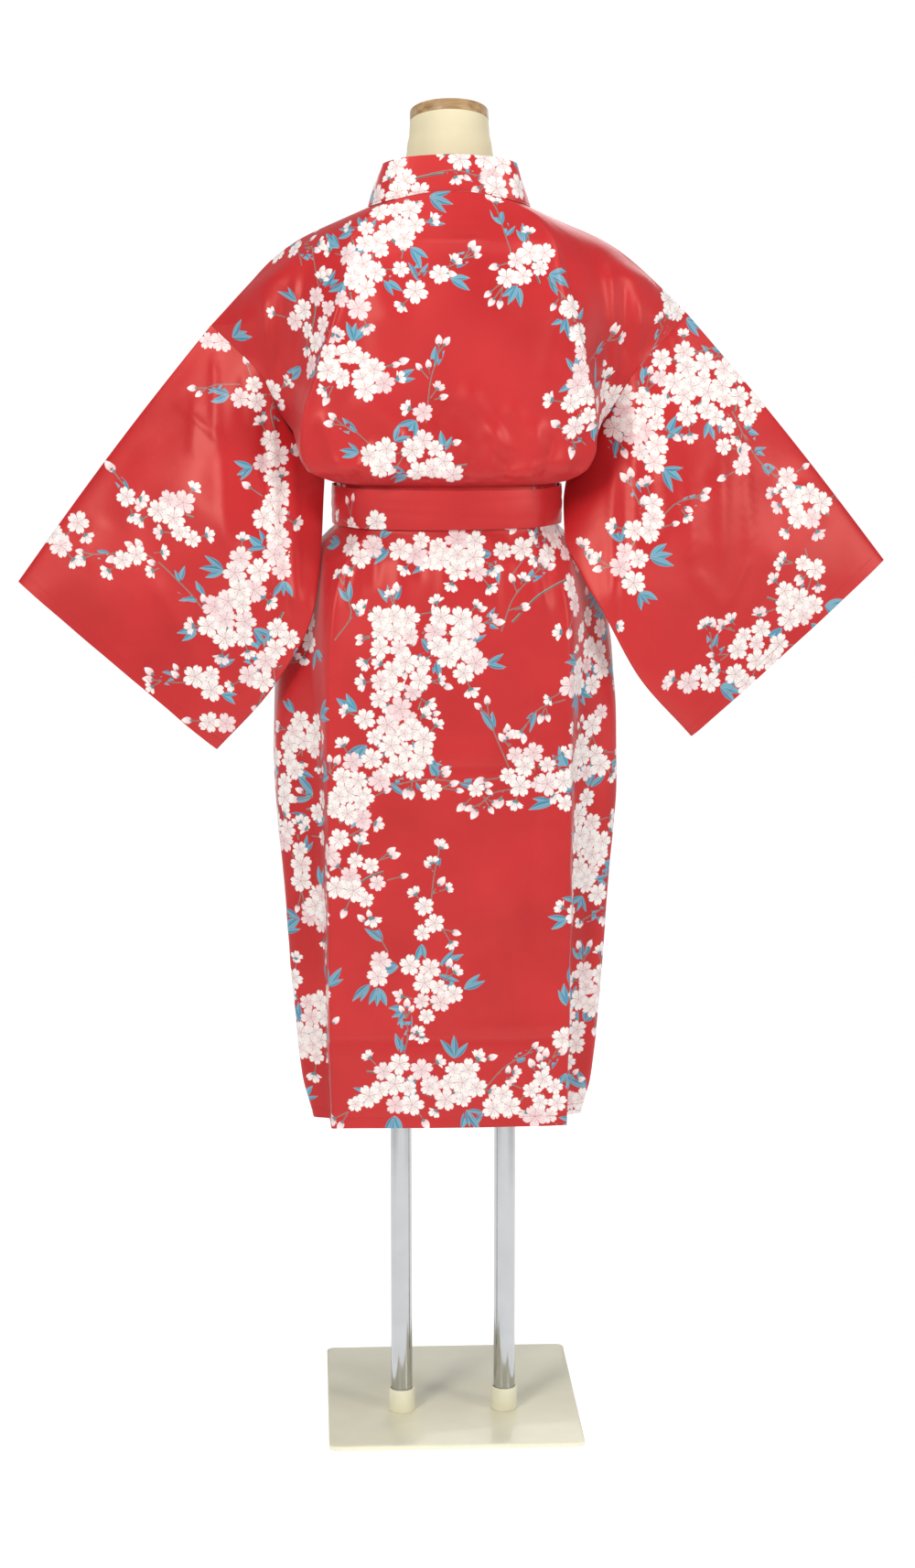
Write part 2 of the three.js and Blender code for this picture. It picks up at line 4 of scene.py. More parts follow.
import bpy
import numpy as np
from mathutils import Matrix, Vector


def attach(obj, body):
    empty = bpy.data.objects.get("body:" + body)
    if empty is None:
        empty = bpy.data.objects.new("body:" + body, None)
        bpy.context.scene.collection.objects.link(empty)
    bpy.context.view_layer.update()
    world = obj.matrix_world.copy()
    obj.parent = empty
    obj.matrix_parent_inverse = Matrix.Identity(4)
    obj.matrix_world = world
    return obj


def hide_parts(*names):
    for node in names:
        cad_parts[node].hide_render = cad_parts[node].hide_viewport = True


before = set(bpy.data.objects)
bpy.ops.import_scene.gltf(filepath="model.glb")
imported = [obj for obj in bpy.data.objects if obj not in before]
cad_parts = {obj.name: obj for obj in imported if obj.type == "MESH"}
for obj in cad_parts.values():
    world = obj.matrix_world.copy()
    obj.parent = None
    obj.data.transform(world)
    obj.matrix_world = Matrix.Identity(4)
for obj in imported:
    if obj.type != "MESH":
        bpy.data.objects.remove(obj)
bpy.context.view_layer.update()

# ------------------------------------------------------------------ sizes and sections, as the solids have them
COAT_Y, HEM_Z, NECK_Z, NECK_RISE = 38.0, 376.0, 1427.0, 18.0
ARM_TOP_Z, ARM_LOW_Z, ROLL, COLLAR_W, LAP = 1300.5, 1124.0, 0.02, 42.0, 6.0
FORM_Y = COAT_Y - 35
POLE = dict(r=12.7, x=61.5, y=-50.0, low=6.4, high=799.6)
PLATE = dict(w=300.0, l=330.0, h=6.0, r=10.0)
CAP = dict(r=45.0, h=13.0, tilt=17.0)
NECK_TOP = dict(z=1524.0, y=28.0, r=45.0)
COLS = ["z", "cx", "mid", "rx", "ry", "vx", "vy", "kx", "ky", "sx", "sy"]
BACK = np.array([
    [376, -7, -158, 134, -152, 137, -112, 157, -100, 153, -40],
    [420, -7, -160, 135, -153, 139, -114, 168, -98, 165, -39],
    [500, -7, -161, 136, -153, 141, -116, 177, -96, 176, -38],
    [640, -7, -162, 136, -154, 144, -120, 188, -92, 189, -36],
    [800, -7, -164, 136, -154, 148, -121, 197, -86, 200, -35],
    [900, -7, -162, 135, -152, 154, -115, 193, -76, 197, -34],
    [967, -6, -158, 132, -146, 157, -104, 184, -66, 187, -34],
    [1030, -5, -146, 118, -128, 144, -92, 160, -58, 163, -34],
    [1056, -4, -134, 100, -114, 122, -86, 136, -56, 138, -34],
    [1068, -4, -130, 92, -110, 113, -82, 126, -54, 128, -34],
    [1091, -4, -129, 91, -109, 112, -81, 125, -54, 127, -34],
    [1116, -4, -129, 91, -109, 112, -81, 125, -54, 127, -34],
    [1124, -5, -142, 130, -114, 142, -86, 145, -60, 141, -32],
    [1136, -6, -151, 153, -122, 160, -90, 158, -62, 150, -38],
    [1160, -6, -153, 163, -126, 170, -92, 171, -68, 166, -46],
    [1190, -6, -150, 162, -134, 175, -90, 181, -68, 186, -54],
    [1240, -3, -147, 151, -138, 180, -80, 197, -70, 213, -66],
    [1300.5, 0, -141, 134, -134, 180, -86, 212, -74, 273.5, -34],
    [1343, 0, -130, 122, -124, 168, -90, 205, -70, 232, -28],
    [1373, -1, -120, 117, -112, 150, -86, 176, -64, 200, -27],
    [1391, -1, -112, 112, -102, 136, -84, 156, -60, 173, -28],
    [1413, -2, -104, 88, -96, 103, -82, 114, -64, 124, -36],
    [1427, -2, -100, 50, -98, 71, -92, 84, -78, 92, -50],
])
FRONT = np.array([
    [376, -7, 92, 118, 64, 146, 28, 156, -8, 153, -40],
    [500, -7, 96, 128, 68, 162, 30, 177, -4, 176, -38],
    [640, -7, 99, 134, 70, 172, 32, 189, -2, 189, -36],
    [800, -7, 100, 138, 70, 180, 32, 200, -2, 200, -35],
    [900, -7, 98, 136, 68, 176, 30, 197, -2, 197, -34],
    [967, -6, 93, 130, 64, 168, 28, 187, -4, 187, -34],
    [1030, -5, 78, 112, 54, 144, 22, 163, -8, 163, -34],
    [1056, -4, 66, 97, 46, 124, 16, 138, -12, 138, -34],
    [1068, -4, 62, 92, 44, 116, 14, 128, -12, 128, -34],
    [1091, -4, 61, 91, 43, 115, 14, 127, -12, 127, -34],
    [1116, -4, 61, 91, 43, 115, 14, 127, -12, 127, -34],
    [1124, -5, 69, 112, 52, 134, 24, 144, -4, 141, -32],
    [1136, -6, 78, 130, 62, 152, 36, 160, 12, 154, -14],
    [1160, -6, 88, 144, 73, 166, 52, 174, 27, 176, 4],
    [1190, -6, 93, 150, 78, 176, 56, 190, 30, 202, 12],
    [1240, -3, 92, 146, 76, 182, 46, 207, 22, 232, 6],
    [1300.5, 0, 88, 130, 72, 180, 36, 228, 4, 273.5, -34],
    [1343, 0, 78, 120, 62, 165, 32, 203, 2, 232, -28],
    [1373, -1, 65, 112, 48, 148, 26, 176, 0, 200, -27],
    [1391, -1, 52, 104, 34, 132, 14, 154, -8, 173, -28],
    [1413, -2, 36, 88, 20, 102, 2, 114, -18, 124, -36],
    [1427, -2, 24, 70, 4, 78, -18, 86, -36, 92, -50],
])
U_AT = [0, 0.48, 0.70, 0.86, 1]
EDGE = np.array([
    [376, 52], [640, 50], [800, 46], [967, 38], [1068, 28], [1124, 26], [1160, 12], [1190, -2], [1240, -21],
    [1300.5, -42], [1343, -56], [1373, -66], [1391, -73], [1413, -82], [1427, -87],
])
STAND_FRONT = np.array([
    [1366, -30, 62, 1389], [1384, -40, 46, 1412], [1398, -52, 22, 1428], [1409, -60, 0, 1445], [1418, -68, -20, 1460], [1427, -74, -36, 1468],
])
STAND_BACK = np.array([
    [-1, -77, -46, 1472], [-0.86, -77, -70, 1475], [-0.7, -68, -87, 1479], [-0.48, -48, -94, 1483], [0, -2, -97, 1486],
])
SLEEVE_LOW = np.array([
    [-146, -32, 1124, 136, -32], [-148, -48, 1092, 130.5, -51], [-150, -74, 1057, 129.5, -82], [-154, -108, 1012, 148, -111],
    [-162, -128, 971, 171, -128], [-205, -112, 893, 214, -112], [-273, -76, 816, 279, -76],
])
CUFF = dict(x=499, xr=505, y=-48, z=1013, back=15, front=22)
FORM = [
    [800, 160, 108, 0], [812, 165, 112, 0], [860, 170, 114, 0], [920, 168, 112, 0], [980, 154, 100, 0], [1040, 128, 84, 0], [1090, 113, 74, 0],
    [1140, 118, 82, 0], [1200, 132, 92, 0], [1260, 146, 96, 0], [1310, 155, 88, 0], [1350, 156, 76, 0], [1378, 140, 66, 2],
    [1396, 100, 55, 5], [1412, 66, 51, 8], [1430, 57, 51, 10], [1448, 53.5, 50.5, 12], [1470, 51.4, 49.5, 16], [1500, 48, 47.6, 22],
]
CLOTH = 1.2  # the visible cloth's thickness


def curve(xs, ys):
    """A smooth line through the rows that never overshoots them."""
    xs, ys = np.asarray(xs, float), np.asarray(ys, float)
    h = np.diff(xs)
    d = np.diff(ys) / h
    m = np.zeros_like(ys)
    m[0], m[-1] = d[0], d[-1]
    for i in range(1, len(xs) - 1):
        if d[i - 1] * d[i] > 0:
            m[i] = 3 * (h[i - 1] + h[i]) / ((2 * h[i] + h[i - 1]) / d[i - 1] + (h[i] + 2 * h[i - 1]) / d[i])

    def f(x):
        x = np.asarray(x, float)
        i = np.clip(np.searchsorted(xs, x, side="left") - 1, 0, len(xs) - 2)
        H = h[i]
        t = np.clip((x - xs[i]) / H, 0, 1)
        return (1 + 2 * t) * (1 - t) ** 2 * ys[i] + t * (1 - t) ** 2 * H * m[i] + t * t * (3 - 2 * t) * ys[i + 1] + t * t * (t - 1) * H * m[i + 1]

    return f


def smooth(t):
    t = np.clip(t, 0, 1)
    return t * t * (3 - 2 * t)


def roll(p):
    p = np.array(p, float)
    x = p[..., 0]
    p[..., 2] += ROLL * x * smooth((np.abs(x) - 130) / 140)
    p[..., 1] += COAT_Y
    return p


class Sections:
    def __init__(self, rows):
        self.f = {}
        for k, c in enumerate(COLS):
            def line(lo, hi):
                r = rows[(rows[:, 0] >= lo) & (rows[:, 0] <= hi)]
                return curve(r[:, 0], r[:, k])
            if not c.startswith("s"):
                self.f[c] = line(-1e9, 1e9)
                if c == "cx":
                    self.f[c] = self.three(line)
            else:
                self.f[c] = self.three(line)

    @staticmethod
    def three(line):
        a, b, c = line(-1e9, ARM_LOW_Z), line(ARM_LOW_Z, ARM_TOP_Z), line(ARM_TOP_Z, 1e9)
        return lambda z: a(z) if z <= ARM_LOW_Z else b(z) if z < ARM_TOP_Z else c(z)

    def row(self, u, z):
        g = {c: float(self.f[c](z)) for c in COLS[1:]}
        half = [0, g["rx"], g["vx"], g["kx"], g["sx"]]
        deep = [g["mid"], g["ry"], g["vy"], g["ky"], g["sy"]]
        us = [-a for a in U_AT[:0:-1]] + U_AT
        xs = [g["cx"] - h for h in half[:0:-1]] + [g["cx"] + h for h in half]
        ys = deep[:0:-1] + deep
        u = np.asarray(u, float)
        return np.stack([curve(us, xs)(u), curve(us, ys)(u), np.full_like(u, z)], -1)


back_s, front_s = Sections(BACK), Sections(FRONT)
edge_x = curve(EDGE[:, 0], EDGE[:, 1])
K = 60
arm_t = (1 - np.cos(np.pi * np.arange(K + 1) / K)) / 2
arm_z = ARM_TOP_Z + (ARM_LOW_Z - ARM_TOP_Z) * arm_t
ROWS = np.concatenate([np.linspace(HEM_Z, 1044, 168)[:-1], np.linspace(1044, 1068, 8)[:-1], np.linspace(1068, 1114, 10), np.linspace(1116, 1122, 4), arm_z[::-1], np.linspace(1304, NECK_Z, 34)])
I_LOW = int(np.argmin(np.abs(ROWS - ARM_LOW_Z)))
I_TOP = I_LOW + K


# ------------------------------------------------------------------ folds: soft ridges and troughs at listed places
def seg_dist(x, z, a, b):
    a, b = np.array(a, float), np.array(b, float)
    d = b - a
    L2 = float(d @ d)
    t = np.clip(((x - a[0]) * d[0] + (z - a[1]) * d[1]) / L2, 0, 1)
    return np.hypot(x - a[0] - t * d[0], z - a[1] - t * d[1]), t


def folds(x, z, table):
    """table rows: x0, z0, x1, z1, width, height (out is positive), how sharp (0 soft, 1 a pressed crease)."""
    d = np.zeros_like(x)
    for x0, z0, x1, z1, w, h, sharp in table:
        r, t = seg_dist(x, z, (x0, z0), (x1, z1))
        ends = smooth(t / 0.22) * smooth((1 - t) / 0.22)
        prof = np.exp(-r / w) if sharp else np.exp(-((r / w) ** 2))
        d += h * prof * ends
    return d


def wave(x, z, seed, size, amp):
    """A gentle unevenness all over, the same each run."""
    g = np.random.default_rng(seed)
    out = np.zeros_like(x)
    for _ in range(7):
        a = g.uniform(0, math.pi)
        k = 2 * math.pi / (size * g.uniform(0.7, 1.6))
        out += np.sin(k * (x * math.cos(a) + z * math.sin(a)) + g.uniform(0, 6.3)) * g.uniform(0.5, 1)
    return amp * out / 3


BACK_FOLDS = [
    # the blouse turns in over the belt
    [-124, 1122, -150, 1206, 9, 4.6, 0], [-112, 1120, -104, 1180, 6, -3.6, 0], [-88, 1119, -96, 1172, 8, 4.0, 0], [-70, 1119, -60, 1168, 5, -3.2, 0],
    [-50, 1118, -54, 1190, 9, 3.4, 0], [-30, 1118, -40, 1152, 5, -2.8, 0], [-8, 1118, 4, 1178, 9, 3.0, 0], [12, 1118, 22, 1150, 5, -2.6, 0],
    [34, 1118, 46, 1196, 9, 3.8, 0], [54, 1119, 66, 1160, 5, -3.2, 0], [78, 1120, 96, 1200, 9, 4.4, 0], [100, 1121, 116, 1180, 6, -3.6, 0], [120, 1122, 140, 1210, 8, 4.2, 0],
    [-144, 1150, -60, 1128, 7, 2.6, 0], [46, 1130, 146, 1152, 7, 2.8, 0],
    # drag lines across the upper back
    [6, 1238, 58, 1150, 12, 4.0, 0], [52, 1216, 112, 1146, 10, 3.0, 0], [30, 1176, 66, 1132, 6, -2.6, 0], [-120, 1224, -30, 1160, 16, 3.0, 0], [-30, 1190, 0, 1214, 12, -2.2, 0], [-150, 1148, 20, 1128, 6, 2.4, 0], [-90, 1262, 90, 1252, 40, -2.4, 0],
    [-100, 1380, -66, 1290, 16, 2.4, 0], [96, 1390, 70, 1300, 16, 2.4, 0], [-120, 1340, -96, 1220, 14, -2.4, 0], [122, 1330, 100, 1230, 14, -2.2, 0],
    [-52, 1404, 50, 1404, 6, 1.8, 0], [-46, 1396, 44, 1396, 4, -1.6, 0],
    # flutes between the ridge and the drop shoulder
    [-176, 1362, -184, 1215, 5, 3.0, 0], [-192, 1344, -198, 1240, 5, -2.4, 0], [-213, 1340, -207, 1232, 3.0, 3.0, 1], [-236, 1322, -232, 1262, 7, 1.8, 0],
    [178, 1376, 186, 1215, 5, 3.0, 0], [196, 1352, 200, 1250, 5, -2.4, 0], [213, 1334, 214, 1236, 3.0, 3.0, 1], [150, 1396, 250, 1318, 10, 2.0, 0], [-140, 1392, -246, 1320, 10, 1.8, 0],
    # gathers below the belt
    [-104, 1062, -122, 980, 7, 3.2, 0], [-86, 1064, -94, 1000, 6, -2.0, 0], [-62, 1064, -68, 950, 7, 1.8, 0], [-38, 1065, -40, 1006, 6, -1.5, 0],
    [-12, 1065, -14, 966, 7, 1.5, 0], [14, 1065, 18, 1010, 6, -1.4, 0], [40, 1065, 48, 960, 7, 1.7, 0], [66, 1064, 76, 1005, 6, -1.8, 0], [88, 1063, 104, 968, 7, 2.8, 0], [108, 1062, 122, 1004, 6, -2.2, 0],
    # creases pressed when the coat was folded
    [-200, 800, 190, 800, 2.6, -2.1, 1], [-185, 480, 170, 480, 2.6, -2.0, 1], [-60, 812, 150, 822, 9, 1.6, 0], [-20, 494, 140, 498, 9, 1.6, 0], [50, 600, 64, 470, 9, 1.5, 0], [-200, 786, 190, 786, 8, 0.9, 0], [-185, 466, 170, 466, 8, 0.8, 0],
    [-190, 388, 180, 388, 2.0, -0.7, 1],
    # long soft ones down the skirt
    [-96, 980, -104, 620, 14, 2.2, 0], [40, 960, 60, 560, 18, 1.8, 0], [96, 940, 88, 560, 10, -2.0, 0], [-20, 760, -30, 420, 18, -1.4, 0], [70, 700, 84, 400, 12, 1.6, 0],
    [-168, 860, -160, 420, 6, -2.4, 0], [162, 860, 150, 430, 6, -2.4, 0], [-188, 900, -178, 520, 6, 2.0, 0], [-60, 700, -50, 500, 12, 1.4, 0],
]
FRONT_FOLDS = [
    [-112, 1122, -120, 1180, 9, 2.4, 0], [-88, 1120, -82, 1164, 7, -2.0, 0], [-62, 1119, -56, 1186, 9, 2.4, 0], [62, 1119, 74, 1170, 8, 2.2, 0], [88, 1120, 96, 1190, 9, -2.0, 0],
    [112, 1122, 116, 1186, 8, 2.4, 0], [-60, 1370, -20, 1230, 14, 2.2, 0], [60, 1370, 24, 1240, 14, 2.2, 0], [-120, 1350, -130, 1200, 12, 2.4, 0], [120, 1350, 132, 1200, 12, 2.4, 0],
    [-172, 1350, -180, 1210, 9, 3.0, 0], [172, 1350, 180, 1214, 9, 3.0, 0], [-211, 1336, -206, 1240, 5, 3.0, 0], [211, 1336, 208, 1240, 5, 3.0, 0],
    [-100, 1062, -114, 960, 8, 2.6, 0], [-70, 1062, -78, 1000, 7, -2.2, 0], [100, 1062, 112, 965, 8, 2.6, 0], [72, 1062, 78, 1000, 7, -2.2, 0],
    [-137, 1030, -138, 372, 3.2, 2.0, 1], [133, 1030, 130, 372, 3.2, 2.0, 1], [-200, 801, 190, 801, 3.0, -1.4, 1], [-185, 481, 170, 481, 3.0, -1.2, 1],
    [-96, 940, -100, 560, 14, -1.8, 0], [96, 930, 92, 520, 14, -1.8, 0], [-60, 900, -66, 480, 16, 1.6, 0], [64, 880, 70, 470, 16, 1.6, 0],
]
LEFT_SLEEVE_FOLDS = [
    [-207, 1250, -203, 950, 3.2, 4.2, 1], [-214, 1240, -212, 980, 5, -2.2, 0], [-271, 1275, -268, 1150, 3.4, 3.0, 1], [-262, 1170, -258, 1040, 7, 1.8, 0], [-318, 1214, -256, 1168, 2.6, 1.9, 1],
    [-184, 1160, -178, 960, 6, 2.6, 0], [-194, 1130, -190, 960, 4, -2.2, 0], [-345, 1020, -286, 922, 12, 2.2, 0], [-236, 1255, -240, 1180, 6, -1.6, 0],
    [-292, 1225, -296, 1150, 5, 1.3, 0], [-400, 1090, -428, 1030, 14, 1.4, 0], [-300, 950, -240, 880, 9, -1.5, 0], [-228, 1010, -232, 900, 5, 1.7, 0], [-350, 1130, -340, 1020, 16, -1.5, 0],
]
RIGHT_SLEEVE_FOLDS = [
    [209, 1245, 210, 1000, 3.2, 4.2, 1], [243, 1180, 245, 1040, 2.6, 2.8, 1], [226, 1190, 228, 1040, 5, -2.0, 0], [263, 1135, 274, 1005, 3.2, 2.9, 1], [273, 1015, 316, 962, 3.4, 2.6, 1],
    [310, 1160, 309, 1004, 4.5, 2.4, 0], [337, 1142, 343, 1018, 3.2, 2.8, 1], [343, 1030, 313, 962, 3.4, 2.4, 1], [288, 1140, 292, 1040, 8, -1.6, 0], [186, 1160, 181, 960, 6, 2.4, 0],
    [195, 1120, 192, 950, 4, -2.0, 0], [250, 1290, 262, 1215, 6, 1.8, 0], [276, 1262, 290, 1200, 6, -1.5, 0], [400, 1110, 424, 1040, 14, 1.6, 0], [300, 930, 262, 870, 8, 1.6, 0],
    [372, 1130, 380, 1020, 12, -1.3, 0],
]
FRONT_SLEEVE_FOLDS = [  # for the wearer's left sleeve; x is mirrored on the right one
    [-207, 1240, -203, 1000, 3.2, 3.4, 1], [-222, 1230, -228, 1000, 5, -1.8, 0], [-262, 1210, -270, 1080, 4, 1.9, 1], [-300, 1200, -322, 960, 10, 1.9, 0],
    [-340, 1150, -372, 1000, 8, -1.5, 0], [-312, 1218, -262, 1150, 3, 1.7, 1], [-184, 1160, -178, 960, 6, 2.4, 0], [-194, 1130, -190, 960, 4, -1.8, 0],
    [-300, 930, -250, 870, 10, 1.6, 0], [-350, 1010, -296, 920, 9, 1.7, 0], [-400, 1130, -430, 1000, 12, 1.4, 0],
]


# ------------------------------------------------------------------ the cloth's middle surfaces
def unit(v):
    return v / np.maximum(np.linalg.norm(v, axis=-1, keepdims=True), 1e-9)


def normals(P, wrap=False):
    a = np.concatenate([P[:1], P[:-1]]), np.concatenate([P[1:], P[-1:]])
    if wrap:
        b = np.roll(P, 1, 1), np.roll(P, -1, 1)
    else:
        b = np.concatenate([P[:, :1], P[:, :-1]], 1), np.concatenate([P[:, 1:], P[:, -1:]], 1)
    return unit(np.cross(a[1] - a[0], b[1] - b[0]))


def faced(N, r, c, toward):
    return -N if float(N[r, c] @ np.array(toward, float)) < 0 else N


UB = np.linspace(-1, 1, 151)
UB[np.argmin(abs(UB - 0.48))] = 0.48
UB[np.argmin(abs(UB + 0.48))] = -0.48
rise = lambda u, z: NECK_RISE * smooth((z - 1391) / (NECK_Z - 1391)) * np.cos(np.pi * np.clip(u, -1, 1) / 2) ** 1.3


def back_grid():
    rows = []
    for z in ROWS:
        p = back_s.row(UB, z)
        p[:, 2] += rise(UB, z)
        rows.append(p)
    return np.array(rows)


def u_of_x(x, z):
    us = np.linspace(-1, 1, 801)
    return float(np.interp(x, front_s.row(us, z)[:, 0], us))


def lap_in(side, z, s):
    return LAP * smooth((s - 0.3) / 0.4) * smooth((1345 - z) / 60) if side > 0 else 0 * s


SF = np.linspace(0, 1, 97)


def front_grid(side):
    rows, us = [], []
    for z in ROWS:
        e = u_of_x(float(edge_x(z)) if side < 0 else 2 * float(front_s.row([0], z)[0, 0]) - float(edge_x(z)), z)
        u = -1 + SF * (e + 1) if side < 0 else 1 - SF * (1 - e)
        p = front_s.row(u, z)
        p[:, 1] -= lap_in(side, z, SF)
        rows.append(p)
        us.append(u)
    return np.array(rows), np.array(us)


LOW_T = np.concatenate([[0], np.cumsum(np.linalg.norm(np.diff(SLEEVE_LOW[:, :3], axis=0), axis=1))])
LOW_T /= LOW_T[-1]
SS = np.linspace(0, 1, 93)


def sleeve_layers(side):
    col = 0 if side < 0 else 3
    low = lambda q: np.stack([curve(LOW_T, SLEEVE_LOW[:, col])(q), curve(LOW_T, SLEEVE_LOW[:, 1 if side < 0 else 4])(q), curve(LOW_T, SLEEVE_LOW[:, 2])(q)], -1)
    arm = [np.array([s.row([side], z)[0] for z in arm_z]) for s in (back_s, front_s)]
    A, U, C = arm[0][0].copy(), low(0.0), low(1.0)
    B = np.array([-CUFF["x"] if side < 0 else CUFF["xr"], CUFF["y"], CUFF["z"]], float)
    out = []
    for a, full in zip(arm, (-CUFF["back"], CUFF["front"])):
        a[K] = U
        t = arm_t[:, None]
        cuff = B * (1 - t) + C * t
        cuff[:, 1] += full * np.sin(np.pi * np.arange(K + 1) / K)
        s = SS[:, None, None]
        p = a[None] * (1 - s) + cuff[None] * s
        top = np.zeros((len(SS), 1, 3))
        top[:, 0, 2] = 6 * np.sin(np.pi * SS)
        p = p + top * (1 - arm_t)[None, :, None]
        p = p + (low(SS) - (U * (1 - SS[:, None]) + C * SS[:, None]))[:, None, :] * arm_t[None, :, None]
        out.append(p)
    return out


def mirrored(table):
    return [[-a + 4, b, -c + 4, d, w, h, s] for a, b, c, d, w, h, s in table]


ALL_BACK = BACK_FOLDS + LEFT_SLEEVE_FOLDS + RIGHT_SLEEVE_FOLDS
ALL_FRONT = FRONT_FOLDS + FRONT_SLEEVE_FOLDS + mirrored(FRONT_SLEEVE_FOLDS)
arm_fade = smooth(arm_t / 0.08) * smooth((1 - arm_t) / 0.05)


def seam_fade(u, z):
    g = np.interp(z, arm_z[::-1], arm_fade[::-1], left=0, right=0)
    return g + (1 - g) * smooth((1 - np.abs(u)) / 0.05)


def lift_back(x, z):
    return folds(x, z, ALL_BACK) + wave(x, z, 3, 95, 1.0) + wave(x, z, 4, 42, 0.28)


def lift_front(x, z):
    return folds(x, z, ALL_FRONT) + wave(x, z, 8, 95, 1.0) + wave(x, z, 9, 42, 0.28)


def belt_fade(z):
    return 1 - 0.9 * smooth((z - 1058) / 10) * smooth((1124 - z) / 8)


backM = back_grid()
(fl, flu), (fr, fru) = front_grid(-1), front_grid(1)
sl, sr = sleeve_layers(-1), sleeve_layers(1)


def tube(layers):
    b, f = layers
    return np.concatenate([b, f[:, 1:K][:, ::-1]], 1)


LAST = len(UB) - 1
P0 = {"back": backM, "front_left": fl, "front_right": fr, "sleeve_left": tube(sl), "sleeve_right": tube(sr)}
WRAP = {"back": False, "front_left": False, "front_right": False, "sleeve_left": True, "sleeve_right": True}
OUT = {"back": (8, 75, (0, -1, 0)), "front_left": (8, 60, (0, 1, 0)), "front_right": (8, 60, (0, 1, 0)), "sleeve_left": (45, K // 2, (0, -1, 0)), "sleeve_right": (45, K // 2, (0, -1, 0))}


def shared_normals(P):
    N = {k: faced(normals(P[k], WRAP[k]), *OUT[k]) for k in P}
    for side, col in (("left", 0), ("right", LAST)):
        nb, nf, ns = N["back"], N["front_" + side], N["sleeve_" + side]
        m = ns.shape[1]
        for r in range(len(ROWS)):
            if r <= I_LOW or r >= I_TOP:
                a = nb[r, col] + nf[r, 0]
                if r == I_LOW:
                    a = a + ns[0, K]
                if r == I_TOP:
                    a = a + ns[0, 0]
                a = a / np.linalg.norm(a)
                nb[r, col], nf[r, 0] = a, a
                if r == I_LOW:
                    ns[0, K] = a
                if r == I_TOP:
                    ns[0, 0] = a
            else:
                i = I_TOP - r
                nb[r, col] = ns[0, i] = unit(nb[r, col] + ns[0, i])
                nf[r, 0] = ns[0, m - i] = unit(nf[r, 0] + ns[0, m - i])
    return N


N0 = shared_normals(P0)
zz = ROWS[:, None]
lift = {}
xr = np.array([float(back_s.f["rx"](z)) for z in ROWS])[:, None]
xc = np.array([float(back_s.f["cx"](z)) for z in ROWS])[:, None]
side_x = np.abs(backM[..., 0] - xc) - xr
pressed = np.exp(-np.abs(side_x) / 4.0) * smooth((1412 - zz) / 30)
lift["back"] = lift_back(backM[..., 0], backM[..., 2]) * seam_fade(UB[None], zz)
lift["back"] += pressed * (2.2 + 1.6 * smooth((zz - 1130) / 60)) - 3.0 * smooth(side_x / 9) * smooth((34 - side_x) / 24) * smooth((zz - 1135) / 40) * smooth((1400 - zz) / 30)
lift["back"] *= belt_fade(zz) * smooth((1427 - zz) / 16)
for k, P, u in (("front_left", fl, flu), ("front_right", fr, fru)):
    lift[k] = lift_front(P[..., 0], P[..., 2]) * seam_fade(u, zz) * belt_fade(zz) * smooth((1 - SF[None]) / 0.08) * smooth((1427 - zz) / 16)
    if k == "front_right":
        lift[k] *= 1 - 0.7 * smooth((SF[None] - 0.35) / 0.3)
for k, L in (("sleeve_left", sl), ("sleeve_right", sr)):
    b, f = L
    lb = lift_back(b[..., 0], b[..., 2]) * arm_fade[None]
    lf = lift_front(f[..., 0], f[..., 2]) * arm_fade[None]
    lift[k] = np.concatenate([lb, lf[:, 1:K][:, ::-1]], 1)
PM = {k: roll(P0[k] + N0[k] * lift[k][..., None]) for k in P0}
NM = shared_normals(PM)


def inset(a, b, by):
    return a + unit(b - a) * by


for k, cols in (("back", ((0, 1), (LAST, LAST - 1))), ("front_left", ((0, 1),)), ("front_right", ((0, 1),))):
    for c, n in cols:
        PM[k][:, c] = inset(PM[k][:, c], PM[k][:, n], 0.15)
for k in ("sleeve_left", "sleeve_right"):
    PM[k][0] = inset(PM[k][0], PM[k][1], 0.15)


# ------------------------------------------------------------------ collar band
def collar_grid():
    free = [curve(STAND_FRONT[:, 0], STAND_FRONT[:, k]) for k in (1, 2, 3)]
    back = [curve(STAND_BACK[:, 0], STAND_BACK[:, k]) for k in (1, 2, 3)]

    def down(side):
        P = PM["front_left" if side < 0 else "front_right"]
        out = []
        for i, z in enumerate(ROWS):
            mid, ex = float(front_s.row([0], z)[0, 0]), float(edge_x(z))
            sx = ex if side < 0 else 2 * mid - ex
            seam = P[i, -1]
            if z < 1366:
                slope = (float(edge_x(min(z + 3, NECK_Z))) - float(edge_x(max(z - 3, HEM_Z)))) / 6
                ln = math.hypot(1, slope)
                z2 = max(HEM_Z, z - slope * COLLAR_W / ln)
                x2 = sx + (1 if side < 0 else -1) * COLLAR_W / ln
                p = front_s.row([u_of_x(x2, z2)], z2)[0]
                p[1] -= float(lap_in(side, z2, np.array(1.0)))
                end = roll(p)
            else:
                x, y, h = (float(f(z)) for f in free)
                end = roll(np.array([x if side < 0 else -4 - x, y, h]))
            out.append([inset(seam, end, 0.3 if z < 1390 else 1.1), end])
        return out

    row, round_ = PM["back"][-1], []
    for j, u in enumerate(UB):
        q = -abs(u)
        x, y, h = (float(f(q)) for f in back)
        end = roll(np.array([x if u <= 0 else -4 - x, y, h]))
        round_.append([inset(row[j], end, 1.1 if abs(u) > 0.6 else 0.5), end])
    st = np.array(down(-1) + round_ + down(1)[::-1])
    t = np.linspace(0, 1, 9)[None, :, None]
    return st[:, :1] * (1 - t) + st[:, 1:] * t


